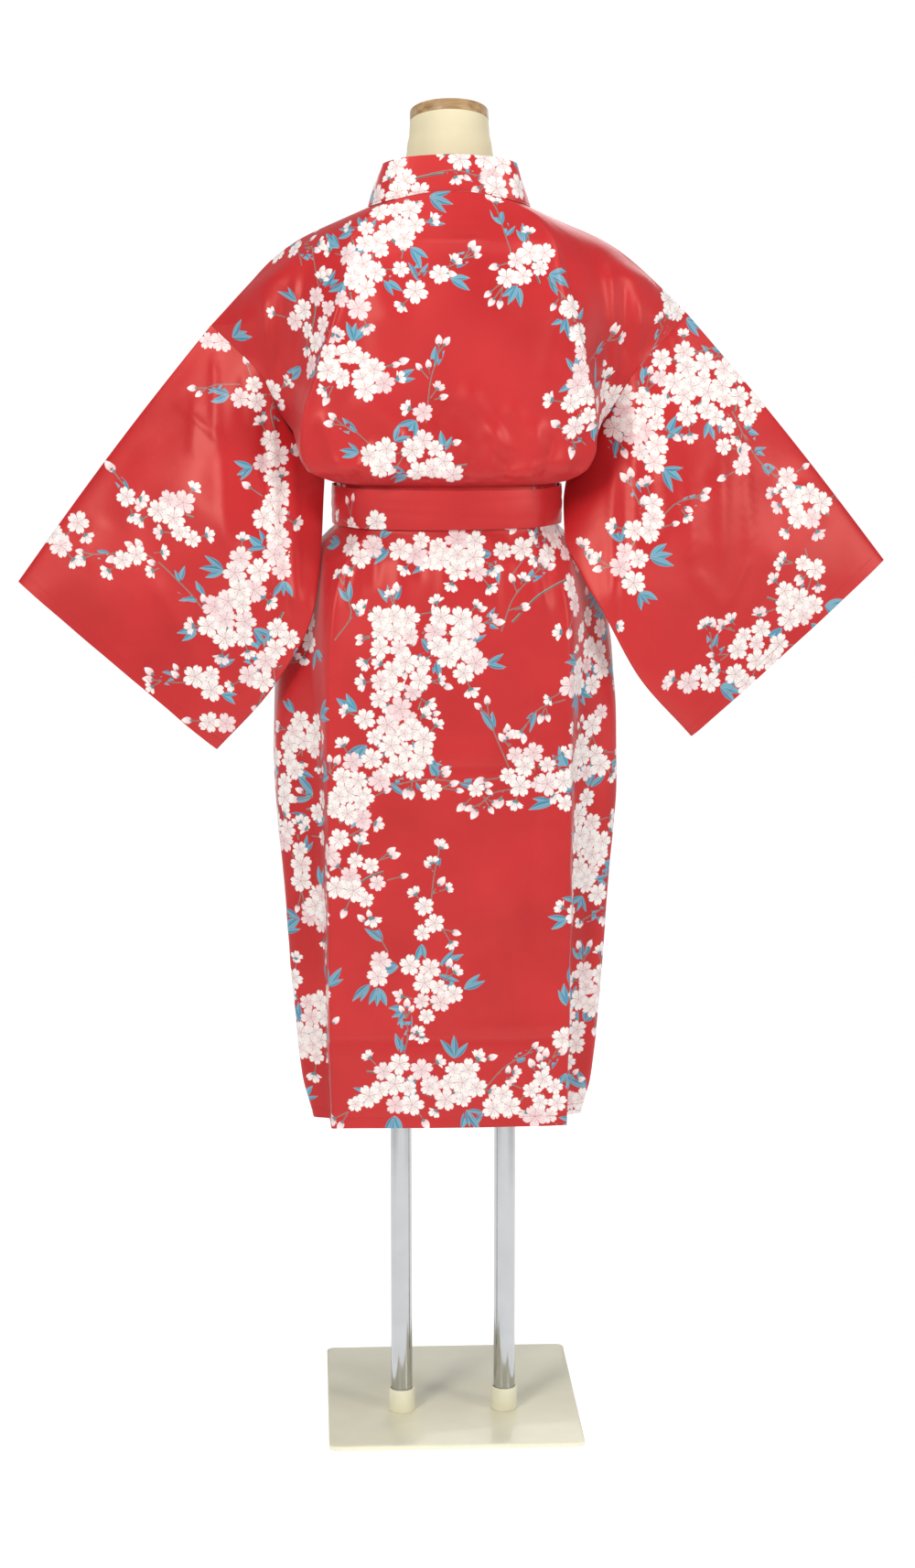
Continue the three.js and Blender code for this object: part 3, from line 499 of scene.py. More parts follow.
collarP = collar_grid()
collarN = faced(normals(collarP), 5, 1, (0, 1, 0))
tc = np.linspace(0, 1, 9)
s_len = np.concatenate([[0], np.cumsum(np.linalg.norm(np.diff(collarP[:, 4], axis=0), axis=1))])
bow = np.sin(np.pi * tc)[None, :] * 1.4 + 0.35 * np.sin(s_len / 23.0)[:, None] * np.sin(np.pi * tc)[None, :]
PM["collar"] = collarP + collarN * bow[..., None]
NM["collar"] = faced(normals(PM["collar"]), 5, 1, (0, 1, 0))
WRAP["collar"] = False


# ------------------------------------------------------------------ belt, its knot and ends
def waist(z, out, n=75):
    u = np.linspace(-1, 1, n)
    pts = np.concatenate([back_s.row(u, z), front_s.row(u[1:-1][::-1], z)])
    d = unit((np.roll(pts, -1, 0) - np.roll(pts, 1, 0)) * [1, 1, 0])
    return pts + np.stack([d[:, 1], -d[:, 0], 0 * d[:, 0]], -1) * out


ring = waist(1091, 5.2, 121)
a_len = np.concatenate([[0], np.cumsum(np.linalg.norm(np.diff(ring, axis=0), axis=1))])
zb = np.linspace(1068.5, 1112.5, 15)
beltP = np.repeat(ring[None], len(zb), 0)
beltP[..., 2] = zb[:, None]
beltP[..., 1] += COAT_Y
beltN = faced(normals(beltP, True), 7, 60, (0, -1, 0))
wv = (zb[:, None] - 1068.5) / 44
crease = 0.9 * np.exp(-(((wv - 0.34 - 0.10 * np.sin(a_len / 60)) / 0.07) ** 2)) + 0.8 * np.exp(-(((wv - 0.68 - 0.08 * np.sin(a_len / 43 + 1)) / 0.06) ** 2))
swell = 0.9 * np.sin(np.pi * wv) - crease * (0.6 + 0.4 * np.sin(a_len / 31 + 2)[None])
PM["belt"] = beltP + beltN * swell[..., None]
PM["belt"][..., 2] += (0.8 * np.sin(a_len / 70))[None] * (wv - 0.5)
NM["belt"] = faced(normals(PM["belt"], True), 7, 60, (0, -1, 0))
WRAP["belt"] = True
for name, x0, x1, ln, ph in (("belt_end_a", -22, -52, 330, 0.0), ("belt_end_b", 16, 44, 300, 1.7)):
    rows = []
    W = np.linspace(-1, 1, 15)
    for t in np.linspace(0, 1, 90):
        z = 1062 - ln * t
        c, half = x0 + (x1 - x0) * t + 1.5 * math.sin(5 * t + ph), 12 + 9 * float(smooth(t / 0.35))
        x = c + half * W
        us = np.linspace(-1, 1, 401)
        sec = front_s.row(us, z)
        y = np.interp(x, sec[:, 0], sec[:, 1]) + COAT_Y + 9 + 8 * (1 - float(smooth(t / 0.2)))
        y = y + 2.2 * np.exp(-((W / 0.35) ** 2)) * (1 - float(smooth(t / 0.7))) - 1.2 * np.abs(W) * math.sin(7 * t + ph) + 1.2 * math.sin(9 * t + ph)
        rows.append(np.stack([x, y, np.full_like(x, z)], -1))
    PM[name] = np.array(rows)
    NM[name] = faced(normals(PM[name]), 40, 7, (0, 1, 0))
    WRAP[name] = False


# ------------------------------------------------------------------ flat coordinates, in which the cloth is printed
FLAT = {}


def arc(P, axis):
    d = np.linalg.norm(np.diff(P, axis=axis), axis=-1)
    pad = [(0, 0), (0, 0)]
    pad[axis] = (1, 0)
    return np.cumsum(np.pad(d, pad), axis=axis)


for k in ("back", "front_left", "front_right"):
    p = arc(PM[k], 1)
    q = arc(PM[k], 0)
    mid = p.shape[1] // 2
    if k == "back":
        p = p - p[:, mid:mid + 1]
    else:  # across a front from the line 100 mm off its middle, so that the cloth's upright grain stays upright
        for i in range(len(p)):
            xs = PM[k][i, :, 0] * (-1 if k == "front_left" else 1)
            o = np.argsort(xs)
            p[i] -= np.interp(100.0, xs[o], p[i][o])
        p += 150
    q = np.repeat(q[:, mid:mid + 1], p.shape[1], 1)
    FLAT[k] = np.stack([p, q], -1)
for k in ("sleeve_left", "sleeve_right"):
    P = PM[k]
    x, z = P[..., 0].copy(), P[..., 2].copy()
    front = np.arange(P.shape[1]) > K
    FLAT[k] = np.stack([np.where(front, x + 2000, x), z], -1)
FLAT["collar"] = np.stack([np.repeat(s_len[:, None], 9, 1), np.repeat(tc[None] * 42, len(s_len), 0)], -1)
FLAT["belt"] = np.stack([np.repeat(a_len[None], len(zb), 0), np.repeat(zb[:, None], len(a_len), 1)], -1)
for k in ("belt_end_a", "belt_end_b"):
    FLAT[k] = np.stack([arc(PM[k], 1), arc(PM[k], 0)], -1)

# ------------------------------------------------------------------ camera, as the photograph was taken
CAM = np.array([-168.3, -3603.0, 1396.0])
PITCH, YAW, FOCAL, W0, H0 = math.radians(-10), math.radians(-2.8), 3400.0, 1000, 1714
fwd = np.array([-math.sin(YAW) * math.cos(PITCH), math.cos(YAW) * math.cos(PITCH), math.sin(PITCH)])
right = np.array([math.cos(YAW), math.sin(YAW), 0.0])
upv = np.cross(right, fwd)


def project(P):
    d = P - CAM
    depth = d @ fwd
    return np.stack([W0 / 2 + FOCAL * (d @ right) / depth, H0 / 2 - FOCAL * (d @ upv) / depth], -1)


# ------------------------------------------------------------------ the print: blossom sprays laid out piece by piece
import mathutils

LOOK = ["back", "sleeve_left", "sleeve_right", "collar", "belt"]
SEEN, kd_items = {}, []
for k in LOOK:
    V = unit(PM[k] - CAM)
    facing = (NM[k] * V).sum(-1) < -0.12
    if k.startswith("sleeve"):
        facing[:, K + 1:] = False
    if k == "back":
        facing &= PM[k][..., 2] < 1440
    px = project(PM[k])
    SEEN[k] = px
    for i, j in zip(*np.nonzero(facing)):
        kd_items.append((px[i, j, 0], px[i, j, 1], k, i, j))
kd = mathutils.kdtree.KDTree(len(kd_items))
for n, it in enumerate(kd_items):
    kd.insert((it[0], it[1], 40.0 if it[2] == "back" and 526 < it[1] < 588 else 0.0), n)
kd.balance()


def at(px, py, want=None):
    """The piece under a point of the picture, its flat coordinates there, and how the picture's axes run on it."""
    found = kd.find_n((px, py, 0), 1 if want is None else 40)
    for co, n, dist in found:
        x, y, k, i, j = kd_items[n]
        if (want is None or k == want) and dist < 9:
            break
    else:
        return None
    n_, m_ = PM[k].shape[:2]
    i0, i1, j0, j1 = max(0, i - 1), min(n_ - 1, i + 1), max(0, j - 1), min(m_ - 1, j + 1)
    S, F = SEEN[k], FLAT[k]
    A = np.stack([S[i1, j] - S[i0, j], S[i, j1] - S[i, j0]], 1)
    B = np.stack([F[i1, j] - F[i0, j], F[i, j1] - F[i, j0]], 1)
    if abs(np.linalg.det(A)) < 1e-6:
        return None
    J = B @ np.linalg.inv(A)
    if not np.all(np.isfinite(J)) or np.abs(J).max() > 12:
        return None
    return k, F[i, j] + J @ (np.array([px, py]) - S[i, j]), J


ELEMENTS = {k: [] for k in FLAT}   # rank, centre, reach, 2x2 map to its own coordinates, offset, code
FLOWER, SIDE, BUD, LEAF, STEM, BRANCH = range(6)
RANK = {FLOWER: 0, SIDE: 1, BUD: 2, STEM: 3, LEAF: 4, BRANCH: 5}


def put(panel, kind, origin, direction, size, seed, width=None):
    """A motif with its own x axis along the direction. Flowers are centred, the others start at their origin."""
    d = np.array(direction, float)
    d = d / max(1e-9, np.hypot(*d))
    M = np.array([[d[0], d[1]], [-d[1], d[0]]])
    o = np.array(origin, float)
    if kind in (FLOWER, SIDE):
        A, c, reach = M / size, o, size * 1.03
    elif kind in (STEM, BRANCH):
        A, c, reach = M * np.array([[1 / size], [1.0]]), o + d * size / 2, size / 2 + 2
    else:
        A, c, reach = M / size, o + d * size / 2, size / 2 + 1
    ELEMENTS[panel].append((RANK[kind] + seed * 0.5, c, reach, A, -A @ o, kind + 0.9 * seed, d, size, kind))


class Sheet:
    """Where a spray is laid: in the picture's coordinates, or a piece's own flat ones."""
    def __init__(self, panel=None, want=None):
        self.panel, self.want, self.skip = panel, want, True

    def place(self, kind, x, y, dx, dy, size, seed):
        if self.panel is not None:
            put(self.panel, kind, (x, y), (dx, dy), size, seed)
            return
        if self.skip and 520 < y < 588 and 345 < x < 640:
            return
        hit = at(x, y, self.want)
        if hit is None:
            return
        k, o, J = hit
        put(k, kind, o, J @ np.array([dx, dy]), size, seed)


def curve_pts(pts, step):
    pts = np.array(pts, float)
    t = np.concatenate([[0], np.cumsum(np.hypot(*np.diff(pts, axis=0).T))])
    s = np.arange(0, t[-1], step)
    f = [curve(t, pts[:, k]) for k in (0, 1)]
    return np.stack([f[0](s), f[1](s)], -1)


def branch(sh, pts, kind=BRANCH):
    q = curve_pts(pts, 7.0)
    for a, b in zip(q[:-1], q[1:]):
        d = b - a
        sh.place(kind, a[0] - d[0] * 0.06, a[1] - d[1] * 0.06, d[0], d[1], float(np.hypot(*d)) * 1.14, 0.3)


def leaves(sh, g, x, y, ang, n, size=24):
    for i in range(n):
        a = ang + (i - (n - 1) / 2) * g.uniform(0.42, 0.62) + g.normal() * 0.08
        r = size * g.uniform(0.82, 1.18)
        sh.place(LEAF, x, y, math.cos(a), math.sin(a), r, g.uniform(0.02, 0.98))


def buds(sh, g, x, y, ang, n, reach=1.0):
    for i in range(n):
        a = ang + (i - (n - 1) / 2) * 0.46 + g.normal() * 0.12
        ln = g.uniform(8, 17) * reach
        sh.place(STEM, x, y, math.cos(a), math.sin(a), ln + 1, 0.6)
        if g.uniform(0, 1) < 0.22:
            sh.place(SIDE, x + math.cos(a) * (ln + 1), y + math.sin(a) * (ln + 1), math.cos(a), math.sin(a), g.uniform(8.5, 10.5), g.uniform(0.02, 0.98))
        else:
            sh.place(BUD, x + math.cos(a) * (ln - 1), y + math.sin(a) * (ln - 1), math.cos(a), math.sin(a), g.uniform(10, 14), g.uniform(0.02, 0.98))


def spray(sh, g, cx, cy, rx, ry, n, leafy=1.0, big=1.0):
    """Open blossoms in the middle, ones seen from the side and buds on thin stems round them, a few leaves."""
    got = []
    n = max(1, round(n * 1.12))
    lean = g.uniform(-0.5, 0.5)
    for _ in range(80 * n):
        if len(got) >= n:
            break
        a, r = g.uniform(0, 2 * math.pi), math.sqrt(g.uniform(0, 1))
        x, y = cx + rx * r * math.cos(a), cy + ry * r * math.sin(a) + lean * rx * r * math.cos(a) * 0.4
        if all(math.hypot(x - u, y - v) > 15.6 * big for u, v in got):
            got.append((x, y))
    if not got:
        return
    near_to = lambda x, y: min(got, key=lambda q: math.hypot(q[0] - x, q[1] - y))
    k = max(2, round(len(got) * 0.95))
    a0 = g.uniform(0, 2 * math.pi)
    for i in range(k):
        a = a0 + 2 * math.pi * (i + g.uniform(-0.3, 0.3)) / k
        x, y = cx + rx * math.cos(a), cy + ry * math.sin(a)
        near = near_to(x, y)
        out = math.atan2(near[1] - cy + 1e-6 + 0.4 * (y - cy), near[0] - cx + 0.4 * (x - cx)) + g.normal() * 0.25
        u = g.uniform(0, 1)
        if u < 0.40 * leafy:
            leaves(sh, g, near[0] + 12 * math.cos(out), near[1] + 12 * math.sin(out), out, 3 if g.uniform(0, 1) < 0.6 else 2, g.uniform(20, 28))
        elif u < 0.72:
            ln = g.uniform(15, 22)
            sh.place(STEM, near[0], near[1], math.cos(out), math.sin(out), ln, 0.6)
            sh.place(SIDE, near[0] + math.cos(out) * ln, near[1] + math.sin(out) * ln, math.cos(out), math.sin(out), g.uniform(9.5, 12), g.uniform(0.02, 0.98))
        else:
            buds(sh, g, near[0] + 11 * math.cos(out), near[1] + 11 * math.sin(out), out, 2 if g.uniform(0, 1) < 0.65 else 1)
    for x, y in got:
        th = g.uniform(0, 2 * math.pi)
        sh.place(FLOWER, x, y, math.cos(th), math.sin(th), g.choice([10.6, 12.4, 13.4, 14.2, 15.2]) * big, g.uniform(0.02, 0.98))
    if len(got) > 3:
        th = g.uniform(-0.5, 0.5) + (0 if rx > ry else math.pi / 2)
        ex, ey = math.cos(th) * rx * 1.3, math.sin(th) * ry * 1.3
        branch(sh, [(cx - ex, cy - ey), (cx - ex * 0.3 + g.normal() * 4, cy - ey * 0.3 + g.normal() * 4), (cx + ex * 0.4, cy + ey * 0.4), (cx + ex, cy + ey)])


def twig(sh, g, tw):
    """A thin stem that ends in buds over a pair of leaves, with more of both along it."""
    branch(sh, tw, STEM)
    q = curve_pts(tw, 6.0)
    end = math.atan2(q[-1][1] - q[-3][1], q[-1][0] - q[-3][0])
    buds(sh, g, q[-1][0], q[-1][1], end, 2 + int(g.uniform(0, 1) < 0.4), 0.8)
    leaves(sh, g, q[-4][0], q[-4][1], end, 2, g.uniform(20, 25))
    q = curve_pts(tw, 23.0)
    for i in range(1, len(q) - 1):
        th = math.atan2(q[i + 1][1] - q[i][1], q[i + 1][0] - q[i][0]) + (0.75 if i % 2 else -0.75)
        u = g.uniform(0, 1)
        if u < 0.35:
            leaves(sh, g, q[i][0], q[i][1], th, 2, g.uniform(16, 22))
        else:
            buds(sh, g, q[i][0], q[i][1], th, 2)


PIC = Sheet()
gen = np.random.default_rng(11)
SPRAYS = [
    # upper back, its left and its right
    (425, 246, 32, 20, 12), (398, 284, 24, 26, 9), (386, 322, 18, 20, 6), (438, 214, 28, 6, 5), (440, 296, 12, 8, 3), (478, 300, 4, 4, 1), (455, 318, 6, 6, 1),
    (342, 346, 20, 28, 9), (352, 390, 14, 20, 6), (384, 402, 26, 20, 8), (406, 420, 14, 12, 3), (415, 500, 15, 13, 4), (466, 450, 5, 6, 1), (460, 490, 16, 10, 4), (480, 512, 26, 10, 5),
    (582, 288, 18, 20, 6), (556, 300, 8, 6, 1), (628, 334, 8, 12, 2), (634, 388, 10, 22, 4), (634, 446, 12, 26, 6), (312, 274, 12, 8, 2), (656, 440, 6, 18, 3),
    # skirt
    (404, 604, 22, 16, 3), (455, 600, 26, 16, 7), (505, 606, 28, 20, 9), (560, 598, 16, 14, 3), (610, 604, 14, 12, 3), (628, 640, 8, 30, 4),
    (430, 690, 26, 24, 8), (495, 690, 28, 24, 9), (440, 740, 26, 26, 9), (500, 722, 20, 14, 4), (425, 790, 28, 28, 10), (450, 820, 20, 24, 7), (395, 850, 34, 22, 10), (372, 884, 28, 18, 7),
    (576, 842, 24, 22, 7), (618, 880, 8, 8, 2), (520, 860, 4, 4, 1), (470, 866, 6, 5, 1), (392, 962, 26, 24, 8), (362, 920, 16, 14, 3),
    (466, 1006, 12, 16, 3), (416, 1060, 10, 12, 3), (462, 1060, 20, 14, 5), (474, 1096, 24, 18, 7),
    (440, 1186, 34, 24, 11), (498, 1186, 26, 18, 8), (400, 1200, 14, 14, 3), (548, 1206, 14, 12, 3), (596, 1200, 20, 22, 6), (622, 1140, 12, 36, 6), (636, 1072, 8, 26, 4),
    (640, 900, 10, 30, 5), (648, 960, 10, 26, 5), (652, 790, 10, 16, 3), (646, 690, 12, 22, 5), (345, 1140, 12, 18, 3), (318, 860, 8, 24, 3), (340, 690, 6, 20, 2), (326, 950, 8, 22, 3), (318, 1080, 6, 20, 2),
    # left sleeve
    (186, 560, 22, 14, 6), (205, 585, 20, 12, 4), (135, 540, 8, 8, 2), (142, 610, 18, 10, 3), (250, 680, 26, 26, 9), (266, 630, 18, 26, 6), (308, 690, 12, 22, 5), (300, 560, 14, 34, 7),
    (298, 500, 12, 30, 5), (304, 610, 10, 20, 3), (232, 376, 12, 10, 3), (280, 432, 18, 14, 4), (60, 595, 10, 14, 2), (290, 735, 18, 14, 4), (222, 745, 12, 14, 3), (240, 790, 14, 10, 3), (85, 570, 6, 6, 1),
    # right sleeve
    (732, 336, 10, 10, 2), (745, 404, 30, 20, 8), (700, 448, 22, 24, 8), (762, 436, 24, 26, 9), (806, 420, 24, 24, 8), (784, 462, 14, 10, 3), (826, 448, 12, 8, 2), (668, 450, 8, 20, 3),
    (705, 490, 14, 20, 4), (880, 556, 22, 20, 6), (870, 540, 8, 8, 1), (858, 520, 6, 6, 1), (888, 620, 14, 12, 3), (868, 660, 24, 18, 6), (828, 705, 24, 20, 6), (686, 618, 14, 22, 5),
    (718, 560, 8, 12, 2), (700, 580, 10, 12, 2), (764, 740, 16, 10, 3), (810, 742, 10, 8, 2), (812, 510, 8, 6, 1), (786, 486, 8, 6, 1),
    # collar and belt
    (436, 186, 16, 12, 4), (412, 204, 8, 6, 1), (540, 182, 16, 10, 4), (556, 206, 14, 10, 4), (505, 176, 6, 6, 1), (412, 566, 8, 6, 2), (386, 576, 4, 4, 1),
]
TWIGS = [
    [(560, 280), (552, 256), (542, 226)], [(598, 304), (620, 330), (628, 352)], [(466, 462), (470, 420), (480, 384)], [(404, 486), (392, 474), (374, 464)], [(450, 300), (490, 292), (512, 280)],
    [(352, 330), (346, 300), (340, 262)], [(330, 290), (324, 268), (306, 258)], [(640, 400), (652, 384), (664, 372)], [(640, 486), (628, 476), (616, 470)], [(446, 520), (436, 532), (424, 536)],
    [(560, 628), (580, 600), (592, 576)], [(548, 690), (560, 656), (590, 622)], [(556, 838), (540, 800), (534, 782)], [(430, 858), (470, 852), (520, 858)], [(470, 1000), (474, 960), (480, 930)],
    [(424, 1040), (412, 1020), (404, 1012)], [(440, 1160), (446, 1128), (444, 1112)], [(530, 1190), (552, 1166), (580, 1150)], [(560, 1214), (590, 1176), (604, 1156)], [(366, 700), (384, 670), (376, 640)],
    [(380, 860), (356, 840), (344, 812)], [(240, 690), (200, 640), (150, 604), (96, 606)], [(262, 420), (240, 420), (226, 424)], [(300, 470), (296, 450), (310, 420)], [(150, 560), (140, 536), (128, 520)],
    [(224, 742), (196, 746), (176, 744)], [(286, 700), (300, 740), (296, 770)], [(800, 450), (826, 500), (846, 520)], [(880, 600), (886, 630), (880, 650)], [(696, 590), (700, 560), (690, 530)],
    [(722, 566), (744, 548), (762, 544)], [(782, 740), (778, 710), (776, 690)], [(700, 400), (716, 376), (724, 356)], [(760, 386), (780, 380), (800, 376)], [(470, 190), (496, 186), (520, 192)],
]
for x, y, rx, ry, n in SPRAYS:
    PIC.skip = not (526 < y < 588)
    spray(PIC, gen, x, y, rx, ry, n, leafy=1.0 if PIC.skip else 0.0)
PIC.skip = True
for tw in TWIGS:
    twig(PIC, gen, tw)
branch(PIC, [(372, 900), (394, 870), (420, 830), (452, 790), (470, 740), (500, 700)])
branch(PIC, [(560, 680), (590, 650), (630, 628)])
branch(PIC, [(712, 410), (760, 384), (792, 386)])
branch(PIC, [(448, 196), (480, 190), (520, 188)])


def fill(panel, p0, p1, q0, q1, keep, seed, dense=1.0):
    """Sprays over the part of a piece that the picture doesn't show: each a few sprays in a row and a twig."""
    g = np.random.default_rng(seed)
    sh = Sheet(panel)
    done = []
    want = int((p1 - p0) * (q1 - q0) / 12500 * dense) + 1
    for _ in range(60 * want):
        if len(done) >= want:
            break
        x, y = g.uniform(p0, p1), g.uniform(q0, q1)
        if not keep(x, y) or any(math.hypot(x - a, y - b) < 92 for a, b in done):
            continue
        done.append((x, y))
        th = g.uniform(0, 2 * math.pi)
        size = 1.0
        for i in range(int(g.integers(1, 4))):
            spray(sh, g, x, y, g.uniform(17, 28) * size, g.uniform(15, 24) * size, max(2, int(g.integers(5, 10) * size ** 2)))
            th += g.uniform(-0.7, 0.7)
            x, y, size = x + 40 * math.cos(th), y + 40 * math.sin(th), size * 0.78
        th += g.uniform(-0.5, 0.5)
        twig(sh, g, [(x - 14 * math.cos(th), y - 14 * math.sin(th)), (x + 16 * math.cos(th), y + 16 * math.sin(th)), (x + 44 * math.cos(th + 0.35), y + 44 * math.sin(th + 0.35))])


qs = FLAT["back"][:, 75, 1]
ps = [np.interp(np.arange(0, qs[-1]), qs, FLAT["back"][:, j, 0]) for j in (0, LAST)]
edge = lambda side, q: ps[side][int(min(max(q, 0), len(ps[side]) - 1))]
inner = {s: np.interp(np.arange(0, qs[-1]), qs, FLAT["back"][:, j, 0]) for s, j in ((0, 26), (1, LAST - 26))}
hid = lambda s: (lambda x, y: (edge(0, y) < x < inner[0][int(min(y, len(inner[0]) - 1))] - 12) if s == 0 else (inner[1][int(min(y, len(inner[1]) - 1))] + 12 < x < edge(1, y)))
fill("back", -330, -150, 0, 760, hid(0), 21, 1.2)
fill("back", 150, 330, 0, 760, hid(1), 22, 1.2)
for k, s in (("front_left", 31), ("front_right", 32)):
    fill(k, FLAT[k][..., 0].min(), FLAT[k][..., 0].max(), 0, FLAT[k][-1, 0, 1], lambda x, y: True, s)
for k, s in (("sleeve_left", 41), ("sleeve_right", 42)):
    F = FLAT[k][:, K + 1:].reshape(-1, 2)
    fill(k, F[:, 0].min(), F[:, 0].max(), F[:, 1].min(), F[:, 1].max(), lambda x, y: True, s)
g = np.random.default_rng(51)
for s in np.arange(60, s_len[-1] - 60, 95):
    hit = np.argmin(abs(s_len - s))
    if collarP[hit, 4, 1] > -20:
        spray(Sheet("collar"), g, s + g.uniform(-18, 18), g.uniform(10, 32), 20, 12, int(g.integers(2, 6)))
for k, qq in (("belt_end_a", (66, 96, 214, 240, 262)), ("belt_end_b", (40, 140, 166, 252))):
    for q in qq:
        spray(Sheet(k), g, g.uniform(14, 26), q, 13, 12, 3)
spray(Sheet("belt"), g, 430, 1092, 22, 10, 4)
spray(Sheet("belt"), g, 596, 1080, 16, 9, 3)


# ------------------------------------------------------------------ meshes
SLOTS = 4


def motif_slots(F, corners, panel):
    """For each corner of each face, the top four motifs over the face: the corner's place in the motif, and its code."""
    fc = F[corners]                          # faces x 4 x 2
    cen = fc.mean(1)
    rad = np.linalg.norm(fc - cen[:, None], axis=-1).max(1)
    out = np.full((SLOTS, len(corners), 4, 3), -1.0)
    used = np.zeros(len(corners), int)
    order = np.argsort(cen[:, 0])
    cx = cen[order, 0]
    for _, c, reach, A, off, code, d, size, kind in sorted(ELEMENTS[panel], key=lambda e: e[0]):
        lo, hi = np.searchsorted(cx, c[0] - reach - 6), np.searchsorted(cx, c[0] + reach + 6)
        idx = order[lo:hi]
        v = cen[idx] - c
        near = np.hypot(v[:, 0], v[:, 1]) < reach + rad[idx]
        if kind in (STEM, BRANCH, LEAF, BUD):
            side = np.abs(v @ np.array([-d[1], d[0]]))
            near &= side < (3.0 if kind in (STEM, BRANCH) else size * 0.36) + rad[idx]
        idx = idx[near & (used[idx] < SLOTS)]
        if not len(idx):
            continue
        loc = fc[idx] @ A.T + off
        out[used[idx], idx, :, :2] = loc
        out[used[idx], idx, :, 2] = code
        used[idx] += 1
    return out


MADE = []


def shell(name, thick=CLOTH, uv=(1.0, 1.0)):
    """A closed wall on a piece's middle surface, with the print's coordinates on its outer side."""
    P, N, wrap = PM[name], NM[name], WRAP[name]
    n, m = P.shape[:2]
    pos = np.concatenate([(P + N * thick / 2).reshape(-1, 3), (P - N * thick / 2).reshape(-1, 3)]) * 0.001
    i, j = np.meshgrid(np.arange(n - 1), np.arange(m if wrap else m - 1), indexing="ij")
    a, b, c, d = i * m + j, (i + 1) * m + j, (i + 1) * m + (j + 1) % m, i * m + (j + 1) % m
    top = np.stack([a, b, c, d], -1).reshape(-1, 4)
    v = pos[top]
    flip = float((np.cross(v[:, 1] - v[:, 0], v[:, 2] - v[:, 0]) * N.reshape(-1, 3)[top[:, 0]]).sum()) < 0
    if flip:
        top = top[:, ::-1]
    off = n * m
    faces = [top, (top + off)[:, ::-1]]
    jj = np.arange(m if wrap else m - 1)
    e0 = np.stack([jj, (jj + 1) % m, (jj + 1) % m + off, jj + off], -1)
    e1 = np.stack([(n - 1) * m + jj, (n - 1) * m + (jj + 1) % m, (n - 1) * m + (jj + 1) % m + off, (n - 1) * m + jj + off], -1)
    rims = [e0 if flip else e0[:, ::-1], e1[:, ::-1] if flip else e1]
    if not wrap:
        ii = np.arange(n - 1)
        l0 = np.stack([ii * m, (ii + 1) * m, (ii + 1) * m + off, ii * m + off], -1)
        l1 = l0 + (m - 1)
        rims += [l0[:, ::-1] if flip else l0, l1 if flip else l1[:, ::-1]]
    rims = np.concatenate(rims)
    # a rim face runs against the faces it joins along each edge
    size = len(pos)
    run = (top * size + np.roll(top, -1, axis=1)).reshape(-1)
    same = np.isin(rims * size + np.roll(rims, -1, axis=1), run).any(1)
    rims[same] = rims[same][:, ::-1]
    faces = np.concatenate(faces + [rims])
    run = (faces * size + np.roll(faces, -1, axis=1)).reshape(-1)
    if len(np.unique(run)) != len(run):
        raise RuntimeError(name + " has faces wound both ways")
    me = bpy.data.meshes.new(name + "_cloth")
    me.from_pydata(pos.tolist(), [], faces.tolist())
    me.update()
    # right way round: the closed volume is positive
    v = pos[faces]
    vol = float(np.einsum("ij,ij->i", v[:, 0], np.cross(v[:, 1], v[:, 2])).sum() + np.einsum("ij,ij->i", v[:, 0], np.cross(v[:, 2], v[:, 3])).sum())
    if vol < 0:
        raise RuntimeError(name + " is inside out")
    nt = len(top)
    F = FLAT[name].reshape(-1, 2)
    slots = np.full((SLOTS, len(faces), 4, 3), -1.0)
    fill_to = motif_slots(F, top, name)
    # a face that runs across a piece's flat seam takes no print
    span = np.ptp(F[top][..., 0], axis=1) > 60
    fill_to[:, span] = -1
    slots[:, :nt] = fill_to
    for s in range(SLOTS):
        at_ = me.attributes.new("motif%d" % s, "FLOAT_VECTOR", "CORNER")
        at_.data.foreach_set("vector", slots[s].reshape(-1).astype(np.float32))
    side = me.attributes.new("wrong_side", "FLOAT", "FACE")
    sv = np.zeros(len(faces), np.float32)
    sv[nt:2 * nt] = 1
    side.data.foreach_set("value", sv)
    # flat coordinates scaled into a unit square, the sleeves' front brought back over their back; they are not stored
    # on the mesh
    G = FLAT[name].copy().reshape(-1, 2)
    w = G[:, 0] > 1000
    G[w, 0] -= 2000
    span2 = np.ptp(G, axis=0)
    U = (G - G.min(0)) / np.maximum(span2, 1e-6)
    me.polygons.foreach_set("use_smooth", np.ones(len(faces), bool))
    # rims stay crisp
    sharp = np.zeros(len(me.edges), bool)
    ed = np.empty(len(me.edges) * 2, int)
    me.edges.foreach_get("vertices", ed)
    ed = ed.reshape(-1, 2)
    onrim = np.zeros(len(pos), bool)
    onrim[rims.reshape(-1)] = True
    both = onrim[ed].all(1)
    key = {}
    rs = set()
    for f in rims:
        for x, y in ((f[0], f[1]), (f[2], f[3]), (f[1], f[2]), (f[3], f[0])):
            rs.add((min(x, y), max(x, y)))
    for n_, (x, y) in enumerate(ed):
        if both[n_] and (min(x, y), max(x, y)) in rs and (x < off) == (y < off):
            sharp[n_] = True
    me.attributes.new("sharp_edge", "BOOLEAN", "EDGE").data.foreach_set("value", sharp)
    ob = bpy.data.objects.new(name + "_cloth", me)
    bpy.context.scene.collection.objects.link(ob)
    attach(ob, "root")
    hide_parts(name)
    MADE.append(ob)

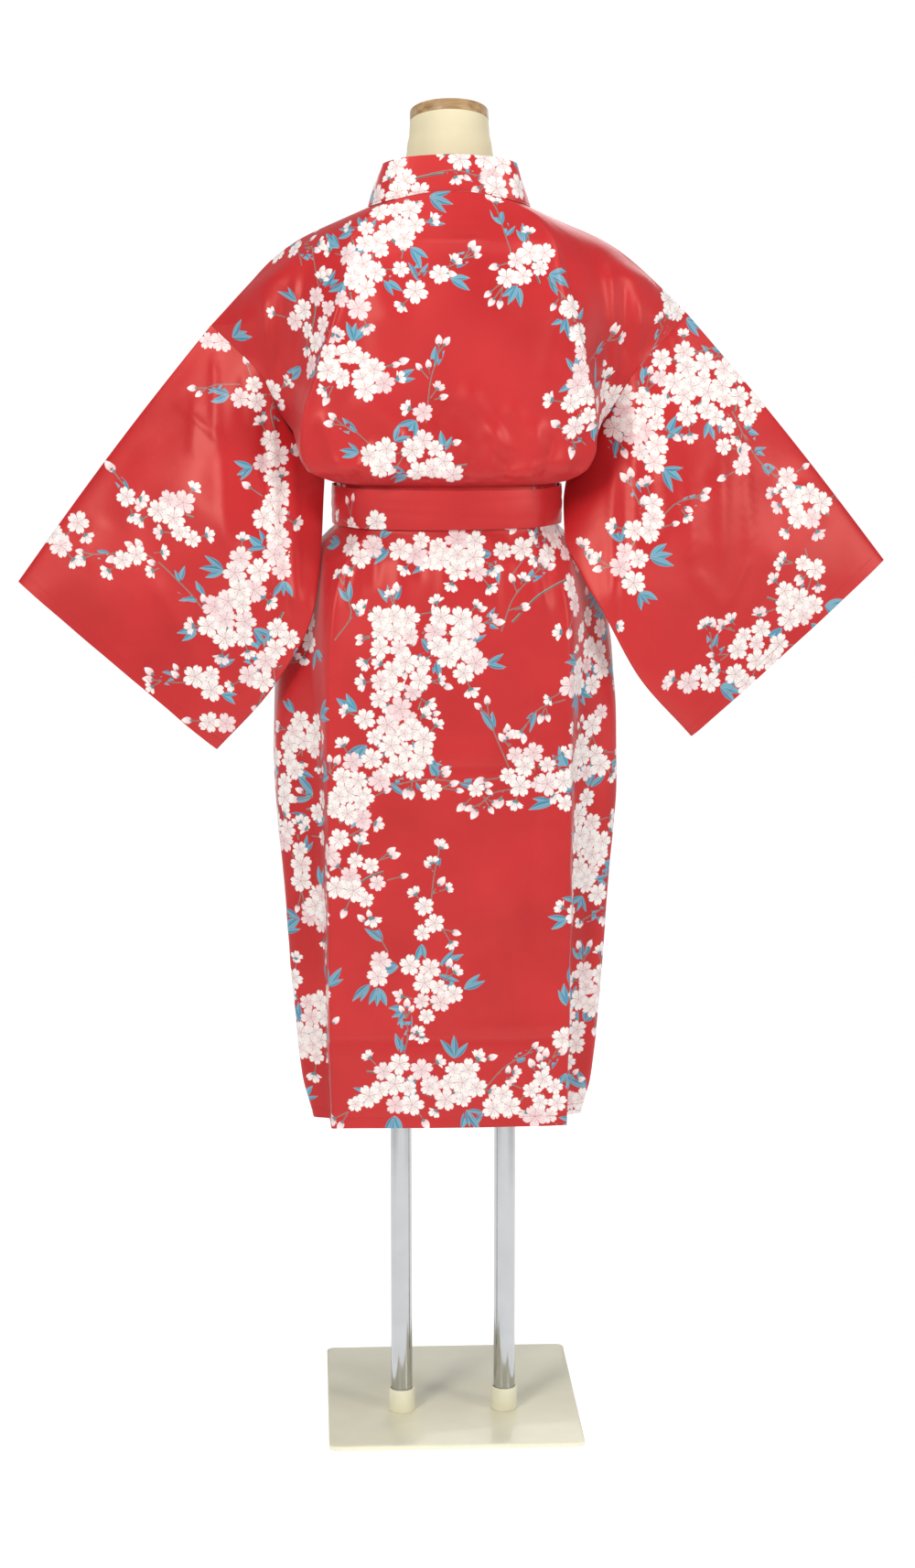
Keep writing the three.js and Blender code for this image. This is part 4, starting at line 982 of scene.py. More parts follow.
    Q = P if not wrap else np.concatenate([P, P[:, :1]], 1)
    d1, d2 = Q[1:, 1:] - Q[:-1, :-1], Q[1:, :-1] - Q[:-1, 1:]
    area = float(np.linalg.norm(np.cross(d1, d2), axis=-1).sum() / 2) * 1e-6
    wide = float(np.linalg.norm(np.diff(Q, axis=1), axis=-1).sum(1).max()) * 0.001
    long = float(np.linalg.norm(np.diff(Q, axis=0), axis=-1).sum(0).max()) * 0.001
    return ob, area, wide, long


# ------------------------------------------------------------------ materials
class Graph:
    def __init__(self, tree):
        self.t = tree

    def node(self, kind, **kw):
        n = self.t.nodes.new(kind)
        for k, v in kw.items():
            setattr(n, k, v)
        return n

    def link(self, a, b):
        if isinstance(a, (int, float)):
            b.default_value = a
        elif isinstance(a, tuple):
            b.default_value = a
        else:
            self.t.links.new(a, b)

    def m(self, op, a, b=None, c=None, clamp=False):
        n = self.node("ShaderNodeMath", operation=op, use_clamp=clamp)
        for i, v in enumerate((a, b, c)):
            if v is not None:
                self.link(v, n.inputs[i])
        return n.outputs[0]

    def step(self, x, lo, hi):
        """0 below lo, 1 above hi."""
        n = self.node("ShaderNodeMapRange", interpolation_type="LINEAR", clamp=True)
        self.link(x, n.inputs[0])
        n.inputs[1].default_value, n.inputs[2].default_value, n.inputs[3].default_value, n.inputs[4].default_value = lo, hi, 0.0, 1.0
        return n.outputs[0]

    def mix(self, f, a, b):
        n = self.node("ShaderNodeMix", data_type="RGBA")
        self.link(f, n.inputs[0])
        self.link(a, n.inputs[6])
        self.link(b, n.inputs[7])
        return n.outputs[2]

    def noise(self, vec, scale, detail=2.0, rough=0.5):
        n = self.node("ShaderNodeTexNoise")
        if vec is not None:
            self.link(vec, n.inputs["Vector"])
        n.inputs["Scale"].default_value, n.inputs["Detail"].default_value, n.inputs["Roughness"].default_value = scale, detail, rough
        return n.outputs[0]


def lin(r, g, b):
    return tuple((v / 255 / 12.92 if v / 255 <= 0.04045 else ((v / 255 + 0.055) / 1.055) ** 2.4) for v in (r, g, b)) + (1.0,)


def motif_group():
    tree = bpy.data.node_groups.new("motif", "ShaderNodeTree")
    tree.interface.new_socket("Place", in_out="INPUT", socket_type="NodeSocketVector")
    tree.interface.new_socket("Color", in_out="OUTPUT", socket_type="NodeSocketColor")
    tree.interface.new_socket("Mask", in_out="OUTPUT", socket_type="NodeSocketFloat")
    g = Graph(tree)
    gi, go = g.node("NodeGroupInput"), g.node("NodeGroupOutput")
    sep = g.node("ShaderNodeSeparateXYZ")
    g.link(gi.outputs[0], sep.inputs[0])
    x, y, code = sep.outputs
    m = g.m
    kind = m("FLOOR", m("ADD", code, 0.0005))
    seed = m("FRACT", m("ADD", code, 0.0005))
    is_ = lambda k: m("COMPARE", kind, float(k), 0.4)
    ay = m("ABSOLUTE", y)
    # five notched petals
    r = m("SQRT", m("ADD", m("MULTIPLY", x, x), m("MULTIPLY", y, y)))
    th = m("MULTIPLY", m("ARCTAN2", y, x), 1 / (2 * math.pi))
    a5 = m("ADD", m("MULTIPLY", th, 5.0), m("MULTIPLY", seed, 5.0))
    t = m("MULTIPLY", m("ABSOLUTE", m("SUBTRACT", m("FRACT", a5), 0.5)), 2.0)
    which = m("FRACT", m("MULTIPLY", m("SINE", m("ADD", m("MULTIPLY", m("FLOOR", a5), 2.399), m("MULTIPLY", seed, 40.0))), 437.5))
    size = m("SUBTRACT", 1.0, m("MULTIPLY", which, 0.09))
    lobe = m("SQRT", m("MAXIMUM", m("SUBTRACT", 1.0, m("POWER", t, 2.3)), 0.0))
    notch = m("MULTIPLY", m("MAXIMUM", m("SUBTRACT", 1.0, m("DIVIDE", t, 0.2)), 0.0), 0.16)
    rout = m("MULTIPLY", m("SUBTRACT", m("ADD", m("MULTIPLY", lobe, 0.58), 0.42), notch), size)
    gap = m("SUBTRACT", rout, r)
    flower = m("MULTIPLY", m("MAXIMUM", is_(FLOWER), is_(SIDE)), g.step(gap, -0.012, 0.022))
    halfcut = m("MULTIPLY", is_(SIDE), m("SUBTRACT", 1.0, g.step(m("SUBTRACT", x, m("MULTIPLY", ay, 0.42)), -0.24, -0.19)))
    flower = m("MULTIPLY", flower, m("SUBTRACT", 1.0, halfcut))
    pale = g.mix(g.step(seed, 0.60, 0.85), lin(244, 241, 238), lin(240, 216, 218))
    col = g.mix(m("MULTIPLY", g.step(r, 0.46, 0.10), 0.36), pale, lin(228, 190, 194))
    rib = m("MULTIPLY", g.step(m("ABSOLUTE", m("SUBTRACT", m("FRACT", m("MULTIPLY", a5, 4.0)), 0.5)), 0.36, 0.5), m("MULTIPLY", g.step(r, 0.25, 0.45), 0.16))
    col = g.mix(rib, col, lin(196, 158, 164))
    div = m("MULTIPLY", g.step(m("MULTIPLY", m("SUBTRACT", 1.0, t), r), 0.085, 0.03), g.step(r, 0.1, 0.2))
    col = g.mix(m("MULTIPLY", div, 0.42), col, lin(176, 150, 154))
    col = g.mix(m("MULTIPLY", g.step(gap, 0.07, 0.03), 0.42), col, lin(172, 142, 146))
    st = m("MULTIPLY", g.step(m("ABSOLUTE", m("SUBTRACT", m("FRACT", m("ADD", m("MULTIPLY", th, 11.0), seed)), 0.5)), 0.17, 0.08), m("MULTIPLY", g.step(r, 0.08, 0.12), g.step(r, 0.42, 0.36)))
    col = g.mix(m("MULTIPLY", st, 0.35), col, lin(170, 124, 128))
    tip = m("MULTIPLY", g.step(m("ABSOLUTE", m("SUBTRACT", m("FRACT", m("ADD", m("MULTIPLY", th, 11.0), seed)), 0.5)), 0.24, 0.14), m("MULTIPLY", g.step(r, 0.35, 0.38), g.step(r, 0.47, 0.43)))
    col = g.mix(m("MULTIPLY", tip, 0.55), col, lin(196, 140, 120))
    col = g.mix(m("MULTIPLY", g.step(r, 0.12, 0.07), 0.5), col, lin(176, 110, 112))
    green = m("MULTIPLY", is_(SIDE), m("MULTIPLY", g.step(r, 0.34, 0.26), g.step(x, 0.16, 0.06)))
    col = g.mix(green, col, lin(84, 136, 146))
    # bud
    inx = m("MULTIPLY", g.step(x, 0.0, 0.02), g.step(x, 1.0, 0.98))
    cx_ = m("MINIMUM", m("MAXIMUM", x, 0.0), 1.0)
    wb = m("MULTIPLY", m("POWER", m("MAXIMUM", m("SINE", m("MULTIPLY", m("POWER", cx_, 0.8), math.pi)), 0.0), 0.75), 0.33)
    bud = m("MULTIPLY", m("MULTIPLY", is_(BUD), inx), g.step(m("SUBTRACT", wb, ay), -0.02, 0.03))
    bcol = g.mix(g.step(x, 0.3, 0.7), lin(238, 206, 208), lin(247, 241, 239))
    bcol = g.mix(m("MULTIPLY", g.step(m("SUBTRACT", wb, ay), 0.07, 0.02), 0.35), bcol, lin(180, 120, 130))
    bcol = g.mix(g.step(m("ADD", x, m("MULTIPLY", ay, 0.5)), 0.26, 0.20), bcol, lin(92, 136, 144))
    # leaf
    wl = m("MULTIPLY", m("POWER", m("MAXIMUM", m("SINE", m("MULTIPLY", m("POWER", cx_, 0.86), math.pi)), 0.0), 0.9), m("ADD", 0.13, m("MULTIPLY", seed, 0.05)))
    bend = m("MULTIPLY", m("MULTIPLY", m("MULTIPLY", cx_, m("SUBTRACT", 1.0, cx_)), m("SUBTRACT", seed, 0.45)), 0.5)
    ly = m("SUBTRACT", y, bend)
    aly = m("ABSOLUTE", ly)
    leaf = m("MULTIPLY", m("MULTIPLY", is_(LEAF), inx), g.step(m("SUBTRACT", wl, aly), -0.008, 0.014))
    lcol = g.mix(m("MULTIPLY_ADD", m("DIVIDE", aly, m("MAXIMUM", wl, 0.01)), 0.55, m("MULTIPLY", seed, 0.45)), lin(12, 106, 146), lin(70, 170, 198))
    lcol = g.mix(g.step(m("MULTIPLY", ly, 1.0), 0.0, 0.02), lcol, g.mix(0.22, lcol, lin(180, 222, 224)))
    vein = m("FRACT", m("MULTIPLY", m("SUBTRACT", x, m("MULTIPLY", aly, 1.3)), 8.0))
    lcol = g.mix(m("MULTIPLY", g.step(vein, 0.16, 0.06), 0.25), lcol, lin(180, 220, 224))
    lcol = g.mix(m("MULTIPLY", g.step(aly, 0.018, 0.008), 0.5), lcol, lin(190, 224, 228))
    lcol = g.mix(m("MULTIPLY", g.step(m("SUBTRACT", wl, aly), 0.03, 0.008), 0.6), lcol, lin(40, 92, 118))
    # stem and branch, with y in millimetres
    stem = m("MULTIPLY", m("MULTIPLY", is_(STEM), g.step(m("ABSOLUTE", m("SUBTRACT", x, 0.5)), 0.5, 0.49)), g.step(ay, 0.75, 0.5))
    bran = m("MULTIPLY", m("MULTIPLY", is_(BRANCH), g.step(m("ABSOLUTE", m("SUBTRACT", x, 0.5)), 0.5, 0.495)), g.step(ay, 1.45, 1.1))
    tcol = g.mix(g.step(y, -0.5, 0.7), lin(74, 84, 80), lin(142, 150, 140))
    out = g.mix(bud, col, bcol)
    out = g.mix(leaf, out, lcol)
    both = m("MAXIMUM", stem, bran)
    out = g.mix(both, out, tcol)
    mask = m("MAXIMUM", m("MAXIMUM", flower, bud), m("MAXIMUM", leaf, both))
    g.link(out, go.inputs[0])
    g.link(mask, go.inputs[1])
    return tree


def material(name):
    mt = bpy.data.materials.new(name)
    mt.use_nodes = True
    t = mt.node_tree
    t.nodes.clear()
    g = Graph(t)
    out, bs = g.node("ShaderNodeOutputMaterial"), g.node("ShaderNodeBsdfPrincipled")
    t.links.new(bs.outputs[0], out.inputs[0])
    tc_ = g.node("ShaderNodeTexCoord")
    return mt, g, bs, tc_.outputs["Object"]


def bump(g, bs, height, strength, distance, under=None):
    b = g.node("ShaderNodeBump")
    b.inputs["Strength"].default_value = strength
    b.inputs["Distance"].default_value = distance
    g.link(height, b.inputs["Height"])
    if under is not None:
        g.link(under, b.inputs["Normal"])
    g.link(b.outputs[0], bs.inputs["Normal"])
    return b.outputs[0]


RED, RED_DEEP = (0.575, 0.021, 0.026, 1), (0.49, 0.015, 0.020, 1)


def satin_material(printed):
    mt, g, bs, co = material("satin_print" if printed else "satin_plain")
    base = g.mix(g.step(g.noise(co, 9.0, 3), 0.35, 0.65), RED, RED_DEEP)
    col = base
    if printed:
        group = motif_group() if "motif" not in bpy.data.node_groups else bpy.data.node_groups["motif"]
        for s in reversed(range(SLOTS)):
            at_ = g.node("ShaderNodeAttribute", attribute_name="motif%d" % s)
            gr = g.node("ShaderNodeGroup")
            gr.node_tree = group
            g.link(at_.outputs["Vector"], gr.inputs[0])
            col = g.mix(gr.outputs[1], col, gr.outputs[0])
        side = g.node("ShaderNodeAttribute", attribute_name="wrong_side")
        col = g.mix(side.outputs["Fac"], col, (0.46, 0.020, 0.028, 1))
    g.link(col, bs.inputs["Base Color"])
    rough = g.node("ShaderNodeMapRange")
    g.link(g.noise(co, 14.0, 2), rough.inputs[0])
    rough.inputs[3].default_value, rough.inputs[4].default_value = 0.36, 0.44
    g.link(rough.outputs[0], bs.inputs["Roughness"])
    bs.inputs["Sheen Weight"].default_value = 0.06
    bs.inputs["Specular IOR Level"].default_value = 0.72
    bs.inputs["Specular Tint"].default_value = (1.0, 0.52, 0.44, 1)
    n1 = bump(g, bs, g.noise(co, 22.0, 2, 0.45), 0.22, 0.0022)
    n2 = bump(g, bs, g.noise(co, 90.0, 3, 0.6), 0.22, 0.0007, n1)
    bump(g, bs, g.noise(co, 2200.0, 1, 0.5), 0.10, 0.0001, n2)
    return mt


def plain_material(name, colour, rough, metallic=0.0, grain=None, strength=0.1, dist=0.0003, coat=0.0):
    mt, g, bs, co = material(name)
    dark = tuple(c * 0.93 for c in colour[:3]) + (1,)
    g.link(g.mix(g.step(g.noise(co, grain or 30.0, 3), 0.3, 0.7), colour, dark), bs.inputs["Base Color"])
    bs.inputs["Roughness"].default_value = rough
    bs.inputs["Metallic"].default_value = metallic
    bs.inputs["Coat Weight"].default_value = coat
    bump(g, bs, g.noise(co, 900.0, 2), strength, dist)
    return mt


def wood_material():
    mt, g, bs, co = material("light_wood")
    mp = g.node("ShaderNodeMapping")
    g.link(co, mp.inputs["Vector"])
    mp.inputs["Scale"].default_value = (14, 150, 150)
    rings = g.noise(mp.outputs[0], 1.0, 4, 0.55)
    c = g.mix(g.step(rings, 0.38, 0.66), lin(184, 152, 108), lin(146, 112, 70))
    g.link(c, bs.inputs["Base Color"])
    bs.inputs["Roughness"].default_value = 0.42
    bs.inputs["Coat Weight"].default_value = 0.15
    bump(g, bs, rings, 0.12, 0.0004)
    return mt


PRINT, PLAIN = satin_material(True), satin_material(False)
FORM_M = plain_material("form_cloth", (0.78, 0.70, 0.47, 1), 0.62, grain=24, strength=0.12, dist=0.0003)
WOOD = wood_material()
CHROME = plain_material("chrome", (0.53, 0.54, 0.55, 1), 0.13, metallic=1.0, grain=40, strength=0.01, dist=0.0001)
ENAMEL = plain_material("cream_enamel", (0.92, 0.89, 0.68, 1), 0.33, grain=18, strength=0.03, dist=0.0002, coat=0.2)
THREAD = plain_material("thread", (0.52, 0.02, 0.03, 1), 0.5, grain=300, strength=0.3, dist=0.0001)

# ------------------------------------------------------------------ cloth pieces
SHEETS = {}
for name, thick, held, rests in (
    ("back", CLOTH, "draped", ["form_torso"]), ("front_left", CLOTH, "draped", ["form_torso"]), ("front_right", CLOTH, "draped", ["form_torso"]),
    ("sleeve_left", CLOTH, "hung", ["back"]), ("sleeve_right", CLOTH, "hung", ["back"]), ("collar", 2.0, "draped", ["back"]),
    ("belt", 2.0, "gathered", ["back"]), ("belt_end_a", 2.0, "hung", ["belt_knot"]), ("belt_end_b", 2.0, "hung", ["belt_knot"]),
):
    ob, area, wide, long = shell(name, thick)
    ob.data.materials.append(PRINT)
    SHEETS[name] = (ob, area, wide, long, held, rests)


# ------------------------------------------------------------------ solids of revolution and lofts
def mesh_object(name, pos, faces, mat, node, smooth_faces=True, sharp_deg=40):
    me = bpy.data.meshes.new(name)
    me.from_pydata((np.asarray(pos) * 0.001).tolist(), [], [list(map(int, f)) for f in faces])
    me.update()
    if smooth_faces:
        me.polygons.foreach_set("use_smooth", np.ones(len(me.polygons), bool))
        me.set_sharp_from_angle(angle=math.radians(sharp_deg))
    me.materials.append(mat)
    ob = bpy.data.objects.new(name, me)
    bpy.context.scene.collection.objects.link(ob)
    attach(ob, "root")
    if node:
        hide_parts(node)
    return ob


def rings_mesh(R, close=True):
    """Faces of a stack of rings, the first at the bottom, capped at both ends."""
    n, m = R.shape[:2]
    faces = []
    for i in range(n - 1):
        for k in range(m):
            faces.append((i * m + k, i * m + (k + 1) % m, (i + 1) * m + (k + 1) % m, (i + 1) * m + k))
    pos = R.reshape(-1, 3)
    if close:
        faces.append(tuple(range(m))[::-1])
        faces.append(tuple((n - 1) * m + k for k in range(m)))
    return pos, faces


def lathe(profile, seg=64):
    t = np.arange(seg) * 2 * np.pi / seg
    p = np.array(profile, float)
    return np.stack([p[:, :1] * np.cos(t), p[:, :1] * np.sin(t), np.repeat(p[:, 1:2], seg, 1)], -1)


def fillet(pts, r_at, n=5):
    """A profile with its corners rounded: r_at gives a radius for each point."""
    out = []
    for i, p in enumerate(pts):
        r = r_at[i]
        if r == 0 or i in (0, len(pts) - 1):
            out.append(p)
            continue
        a, b, c = (np.array(q, float) for q in (pts[i - 1], p, pts[i + 1]))
        u, v = (a - b) / np.linalg.norm(a - b), (c - b) / np.linalg.norm(c - b)
        for k in range(n + 1):
            w = k / n
            out.append(tuple(b + u * r * (1 - w) ** 2 + v * r * w ** 2))
    return out


FR = np.array(FORM, float)
fa, fb, fy = (curve(FR[:, 0], FR[:, k]) for k in (1, 2, 3))
pw = lambda v, e: np.sign(v) * np.abs(v) ** e
seg = 112
T = np.arange(seg) * 2 * np.pi / seg
levels = [(z, float(fa(z)), float(fb(z)), float(fy(z)), 0.0, float(np.interp(z, [1396, 1412], [0.88, 1]))) for z in np.concatenate([np.linspace(800, 812, 6), np.linspace(818, 1340, 60), np.linspace(1346, 1500, 44)])]
for w in np.linspace(0, 1, 5)[1:]:
    levels.append((1500 + 8 * w, 48 - 2 * w, 47.6 - 1.6 * w, 22 + 2.5 * w, 9 * w, 1))
for w in np.linspace(0, 1, 7)[1:]:
    levels.append((1508 + 16 * w, 46 - w, 46 - w, 24.5 + 3.5 * w, 9 + 8 * w, 1))
rings = []
for z, a, b, y, tilt, e in levels:
    c, s, tt = pw(np.cos(T), e), pw(np.sin(T), e), math.radians(tilt)
    rings.append(np.stack([a * c, FORM_Y + y + b * s * math.cos(tt), z - b * s * math.sin(tt)], -1))
pos, faces = rings_mesh(np.array(rings))
mesh_object("form_cloth", pos, faces, FORM_M, "form_torso")

tilt = math.radians(CAP["tilt"])
cap_pts = [(0, 0), (CAP["r"], 0), (CAP["r"], CAP["h"]), (0, CAP["h"])]
prof = fillet(cap_pts, [0, 0.8, 2.4, 0])
R = lathe(prof[1:-1], 96)
pos, faces = rings_mesh(R)
pos = np.stack([pos[:, 0], pos[:, 1] * math.cos(tilt) + pos[:, 2] * math.sin(tilt), -pos[:, 1] * math.sin(tilt) + pos[:, 2] * math.cos(tilt)], -1)
pos += np.array([0, FORM_Y + NECK_TOP["y"] + 0.3 * math.sin(tilt), NECK_TOP["z"] + 0.3 * math.cos(tilt)])
mesh_object("cap_wood", pos, faces, WOOD, "neck_cap")

for side, s in (("left", -1), ("right", 1)):
    pos, faces = rings_mesh(lathe(fillet([(0, POLE["low"]), (POLE["r"], POLE["low"]), (POLE["r"], POLE["high"]), (0, POLE["high"])], [0, 0.6, 0.6, 0], 3)[1:-1], 72))
    mesh_object("tube_" + side, pos + np.array([s * POLE["x"], POLE["y"], 0]), faces, CHROME, "pole_" + side)
    loop = fillet([(13.0, 14.0), (13.0, 0.0), (15.4, 0.0), (15.4, 28.0), (13.0, 28.0), (13.0, 14.0)], [0, 0.2, 0.2, 0.9, 0.4, 0], 4)
    R = lathe(loop[:-1], 64)
    n, m = R.shape[:2]
    faces = [(i * m + k, i * m + (k + 1) % m, ((i + 1) % n) * m + (k + 1) % m, ((i + 1) % n) * m + k) for i in range(n) for k in range(m)]
    pos = R.reshape(-1, 3) + np.array([s * POLE["x"], POLE["y"], PLATE["h"] + 0.3])
    mesh_object("collar_ring_" + side, pos, faces, ENAMEL, "socket_" + side)

outline = []
hw, hl, pr = PLATE["w"] / 2, PLATE["l"] / 2, PLATE["r"]
for cx_, cy_, a0 in ((hw - pr, -hl + pr, -90), (hw - pr, hl - pr, 0), (-hw + pr, hl - pr, 90), (-hw + pr, -hl + pr, 180)):
    for k in range(13):
        a = math.radians(a0 + 90 * k / 12)
        outline.append((cx_, cy_, math.cos(a), math.sin(a)))
outline = np.array(outline)
levels = []
for z, into in ((0, 0.4), (0.4, 0), (PLATE["h"] - 1.1, 0), (PLATE["h"] - 0.5, 0.18), (PLATE["h"] - 0.15, 0.55), (PLATE["h"], 1.1)):
    levels.append(np.stack([outline[:, 0] + outline[:, 2] * (pr - into), outline[:, 1] + outline[:, 3] * (pr - into), np.full(len(outline), z)], -1))
pos, faces = rings_mesh(np.array(levels))
mesh_object("plate", pos, faces, ENAMEL, "base_plate", sharp_deg=50)

# ------------------------------------------------------------------ the knot: a soft lump with the band wrapped over its middle
KNOT = np.array([-4.0, 61 + COAT_Y + 3.2 + 0.8 + 1.2 + 1.2 + 12.2, 1090.0])
lat, lon = np.meshgrid(np.linspace(0.02, np.pi - 0.02, 40), np.arange(64) * 2 * np.pi / 64, indexing="ij")
dx, dy, dz = np.cos(lat), np.sin(lat) * np.sin(lon), np.sin(lat) * np.cos(lon)
r = 1 + 0.05 * np.sin(3 * lon + 5 * lat) * np.sin(lat) + 0.035 * np.sin(7 * lon + 1.3) * np.sin(lat)
pin = 1 - 0.22 * np.exp(-((dx / 0.55) ** 2))
pos = np.stack([30.5 * pw(dx, 0.7), 10.4 * pw(dy, 0.8) * r * pin, 22 * pw(dz, 0.8) * r * pin], -1) + KNOT
R1, F1 = rings_mesh(pos)
w = np.linspace(-1, 1, 11)
ph = np.arange(72) * 2 * np.pi / 72
W, PH = np.meshgrid(w, ph, indexing="ij")
lobes = 1 + 0.03 * np.sin(5 * PH + 3 * W)
inner_ = np.stack([12.5 * W + 2 * np.sin(PH), 10.0 * pw(np.sin(PH), 0.85), 22.6 * pw(np.cos(PH), 0.85)], -1)
outer_ = np.stack([13 * W + 2 * np.sin(PH), (10.7 + 0.35 * np.cos(W * np.pi)) * pw(np.sin(PH), 0.85) * lobes, (24.0 + 0.7 * np.cos(W * np.pi / 2)) * pw(np.cos(PH), 0.85) * lobes], -1)
R2 = np.concatenate([outer_, inner_[::-1]], 0) + KNOT
n, m = R2.shape[:2]
F2 = [(i * m + k, ((i + 1) % n) * m + k, ((i + 1) % n) * m + (k + 1) % m, i * m + (k + 1) % m) for i in range(n) for k in range(m)]


def outward(pos, faces):
    v = np.asarray(pos)
    c = v.mean(0)
    vol = sum(float(np.dot(v[f[0]] - c, np.cross(v[f[a]] - c, v[f[a + 1]] - c))) for f in faces for a in range(1, len(f) - 1))
    return faces if vol > 0 else [tuple(reversed(f)) for f in faces]


F1 = outward(R1, F1)
F2 = outward(R2.reshape(-1, 3), F2)
pos = np.concatenate([R1, R2.reshape(-1, 3)])
faces = list(F1) + [tuple(int(i) + len(R1) for i in f) for f in F2]
knot = mesh_object("knot", pos, faces, PLAIN, "belt_knot", sharp_deg=60)


# ------------------------------------------------------------------ stitches, joined into one mesh a line
def stitches(name, pts, nrm, pitch=3.3, length=2.5, width=0.55, high=0.35, lift=CLOTH / 2):
    pts = np.asarray(pts)
    d = np.concatenate([[0], np.cumsum(np.linalg.norm(np.diff(pts, axis=0), axis=1))])
    at_ = np.arange(pitch, d[-1] - pitch, pitch)
    c = np.stack([np.interp(at_, d, pts[:, k]) for k in range(3)], -1)
    n = unit(np.stack([np.interp(at_, d, np.asarray(nrm)[:, k]) for k in range(3)], -1))
    e = np.stack([np.interp(at_ + 1, d, pts[:, k]) - np.interp(at_ - 1, d, pts[:, k]) for k in range(3)], -1)
    e = unit(e - n * (e * n).sum(-1, keepdims=True))
    s = np.cross(n, e)
    c = c + n * lift
    ring = []
    for t, wd in ((-1, 0.35), (-0.6, 1), (0.6, 1), (1, 0.35)):
        for a, b in ((-1, -0.5), (-0.6, 0.75), (0, 1), (0.6, 0.75), (1, -0.5)):
            ring.append(c + e * t * length / 2 + s * a * wd * width / 2 + n * (b * high * (wd if b > 0 else 1)))
    V = np.stack(ring, 1)
    k = V.shape[1]
    base = []
    for i in range(3):
        for j in range(5):
            base.append((i * 5 + j, i * 5 + (j + 1) % 5, (i + 1) * 5 + (j + 1) % 5, (i + 1) * 5 + j))
    ends = [(4, 3, 2, 1, 0), (15, 16, 17, 18, 19)]
    faces = []
    flip = None
    for q in range(len(V)):
        faces += [tuple(i + q * k for i in f) for f in base + ends]
    one = [f for f in base + ends]
    if outward(V[0], one)[0] != one[0]:
        faces = [tuple(reversed(f)) for f in faces]
    ob = mesh_object(name, V.reshape(-1, 3), faces, THREAD, None, sharp_deg=80)
    return ob


def line_at(name, row=None, col=None, part=None):
    P, N = PM[name], NM[name]
    if row is not None:
        sl_ = (slice(row, row + 1), part or slice(None))
        return P[sl_][0], N[sl_][0]
    sl_ = (part or slice(None), col)
    return P[sl_], N[sl_]


thread = {}
for k in ("back", "front_left", "front_right"):
    p, n_ = line_at(k, row=3)
    thread.setdefault(k, []).append(stitches("hem_stitches_" + k, p, n_))
for k in ("sleeve_left", "sleeve_right"):
    p, n_ = line_at(k, row=len(SS) - 4)
    thread.setdefault(k, []).append(stitches("cuff_stitches_" + k[7:], np.concatenate([p, p[:1]]), np.concatenate([n_, n_[:1]])))
lo_, hi_ = 6, len(s_len) - 6
cp, cn = PM["collar"], NM["collar"]
thread["collar"] = [stitches("collar_stitches_seam", (cp[lo_:hi_, 0] * 0.55 + cp[lo_:hi_, 1] * 0.45), cn[lo_:hi_, 1], pitch=3.6, lift=1.0)]

for name, (ob, area, wide, long, held, rests) in SHEETS.items():
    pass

# ------------------------------------------------------------------ the room: a grey floor with a painted white glow, soft lights, the camera
def floor():
    """A flat grey sheet under the stand, out to where the room begins, given a painted glow: emission lights it white
    in a wedge that widens away from the camera, and only faintly beyond it.
    """
    prof = [(-7.0, 7.0), (7.0, 7.0)]
    pos = [(x * w, y, -0.0005) for y, w in prof for x in (-1, 1)]
    me = bpy.data.meshes.new("floor")
    me.from_pydata(pos, [], [(2 * i, 2 * i + 1, 2 * i + 3, 2 * i + 2) for i in range(len(prof) - 1)])
    ob = bpy.data.objects.new("floor", me)
    bpy.context.scene.collection.objects.link(ob)
    mt, g, bs, co = material("floor_painted_glow")
    bs.inputs["Base Color"].default_value = (0.34, 0.34, 0.34, 1)
    bs.inputs["Roughness"].default_value = 0.9
    bs.inputs["Specular IOR Level"].default_value = 0.1
    # painted glow: the grey floor shines white by emission (0.93) inside a wedge widening away from the camera, fading
    # to 0.38 outside it
    bs.inputs["Emission Color"].default_value = (1, 1, 1, 1)
    sx = g.node("ShaderNodeSeparateXYZ")
    g.link(co, sx.inputs[0])
    side = g.m("ABSOLUTE", g.m("SUBTRACT", sx.outputs[0], g.m("MULTIPLY", sx.outputs[1], 0.05)))
    past = g.m("SUBTRACT", side, g.m("ADD", g.m("MULTIPLY", sx.outputs[1], 0.32), 0.80))
    g.link(g.m("ADD", g.m("MULTIPLY", g.step(past, 0.9, 0.0), 0.55), 0.38), bs.inputs["Emission Strength"])
    me.materials.append(mt)


floor()


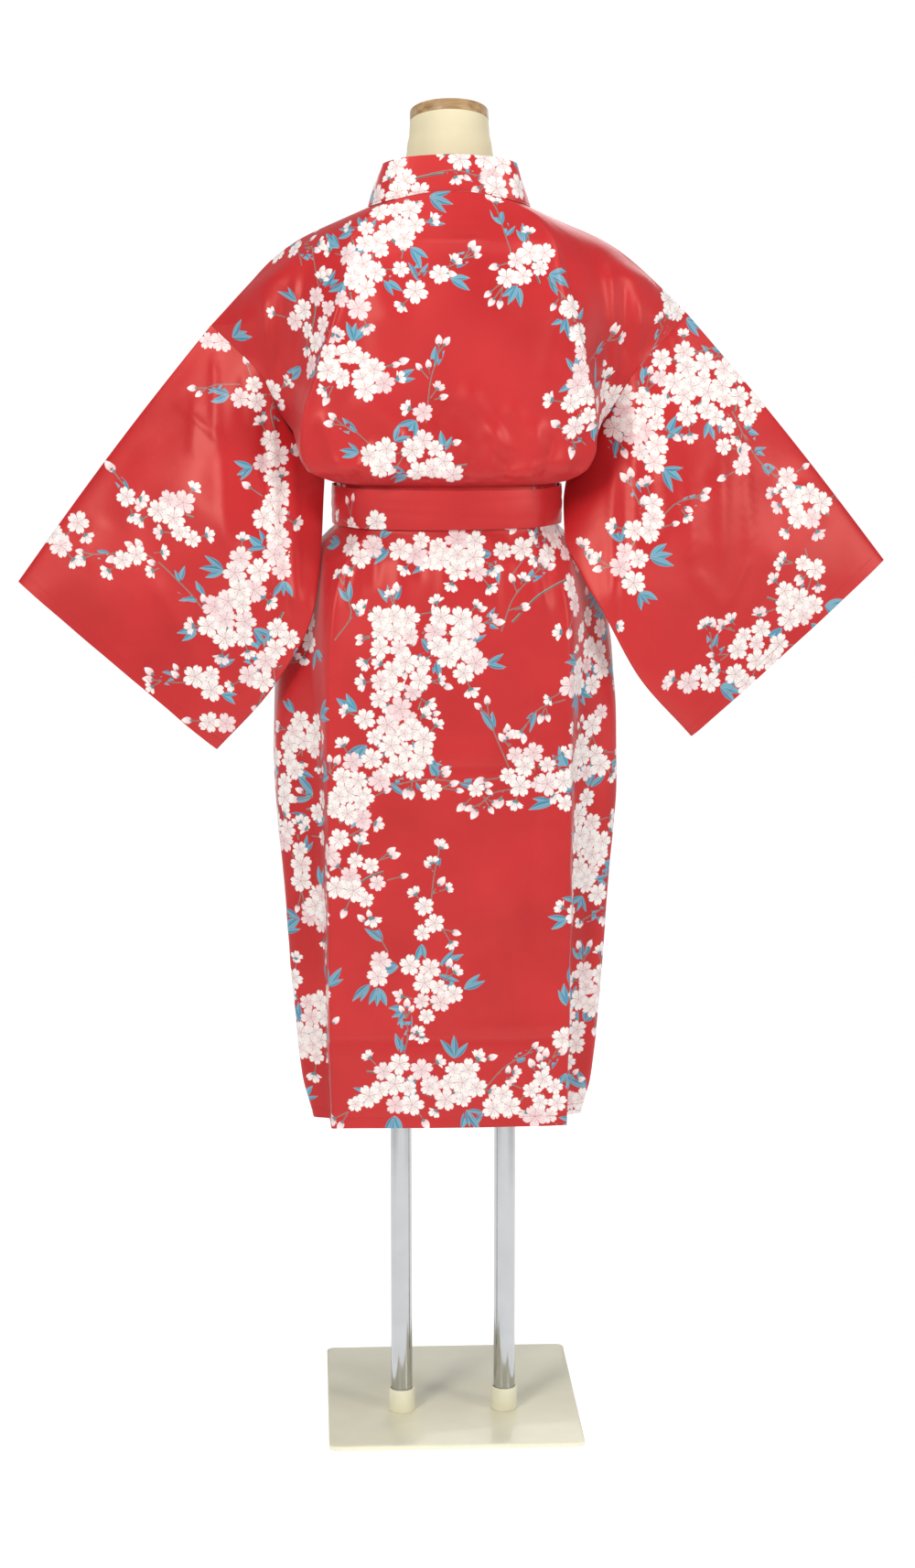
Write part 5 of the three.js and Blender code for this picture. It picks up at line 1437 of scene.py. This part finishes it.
def area(name, loc, target, size, power, colour=(1, 1, 1)):
    d = bpy.data.lights.new(name, "AREA")
    d.shape, d.size, d.size_y, d.energy, d.color = "RECTANGLE", size[0], size[1], power, colour
    ob = bpy.data.objects.new(name, d)
    ob.location = loc
    ob.rotation_euler = (Vector(target) - Vector(loc)).to_track_quat("-Z", "Y").to_euler()
    bpy.context.scene.collection.objects.link(ob)
    return ob


area("key", (-1.7, -2.7, 2.7), (0, 0, 1.1), (0.8, 1.2), 53, (1, 0.96, 0.92))
area("fill", (2.5, -2.2, 2.0), (0, 0, 1.0), (0.8, 1.3), 32, (1, 0.97, 0.95))
area("top", (0.1, -0.5, 3.3), (0, 0, 0.9), (1.8, 1.2), 22)
area("back_fill", (0.8, 3.0, 2.6), (0, 0, 1.0), (2.0, 2.0), 26)
world = bpy.data.worlds.new("room")
bpy.context.scene.world = world
world.use_nodes = True
wg = Graph(world.node_tree)
wc = wg.node("ShaderNodeTexCoord")
wx = wg.node("ShaderNodeSeparateXYZ")
wg.link(wc.outputs["Generated"], wx.inputs[0])
turn = wg.m("ABSOLUTE", wg.m("ARCTAN2", wx.outputs[0], wg.m("MULTIPLY", wx.outputs[1], -1.0)))
dark = wg.m("MULTIPLY", wg.step(turn, 0.42, 0.62), wg.step(turn, 1.5, 1.2))
room = wg.mix(dark, (0.62, 0.62, 0.62, 1), (0.10, 0.10, 0.10, 1))
low = wg.step(wx.outputs[2], 0.0, -0.2)
room = wg.mix(wg.m("MULTIPLY", low, 0.35), room, (0.10, 0.10, 0.10, 1))
near = wg.step(wg.m("ABSOLUTE", wx.outputs[2]), 0.225, 0.160)
bg = world.node_tree.nodes["Background"]
wg.link(wg.mix(near, room, (2.45, 2.45, 2.45, 1)), bg.inputs[0])
bg.inputs[1].default_value = 0.42

cam = bpy.data.cameras.new("camera")
cam.sensor_fit, cam.sensor_height, cam.lens = "VERTICAL", 36.0, FOCAL / H0 * 36
cam.clip_end = 60
co = bpy.data.objects.new("camera", cam)
co.location = CAM * 0.001
co.rotation_euler = (math.radians(80), 0, YAW)
bpy.context.scene.collection.objects.link(co)
bpy.context.scene.camera = co
bpy.context.scene.view_settings.view_transform = "Standard"
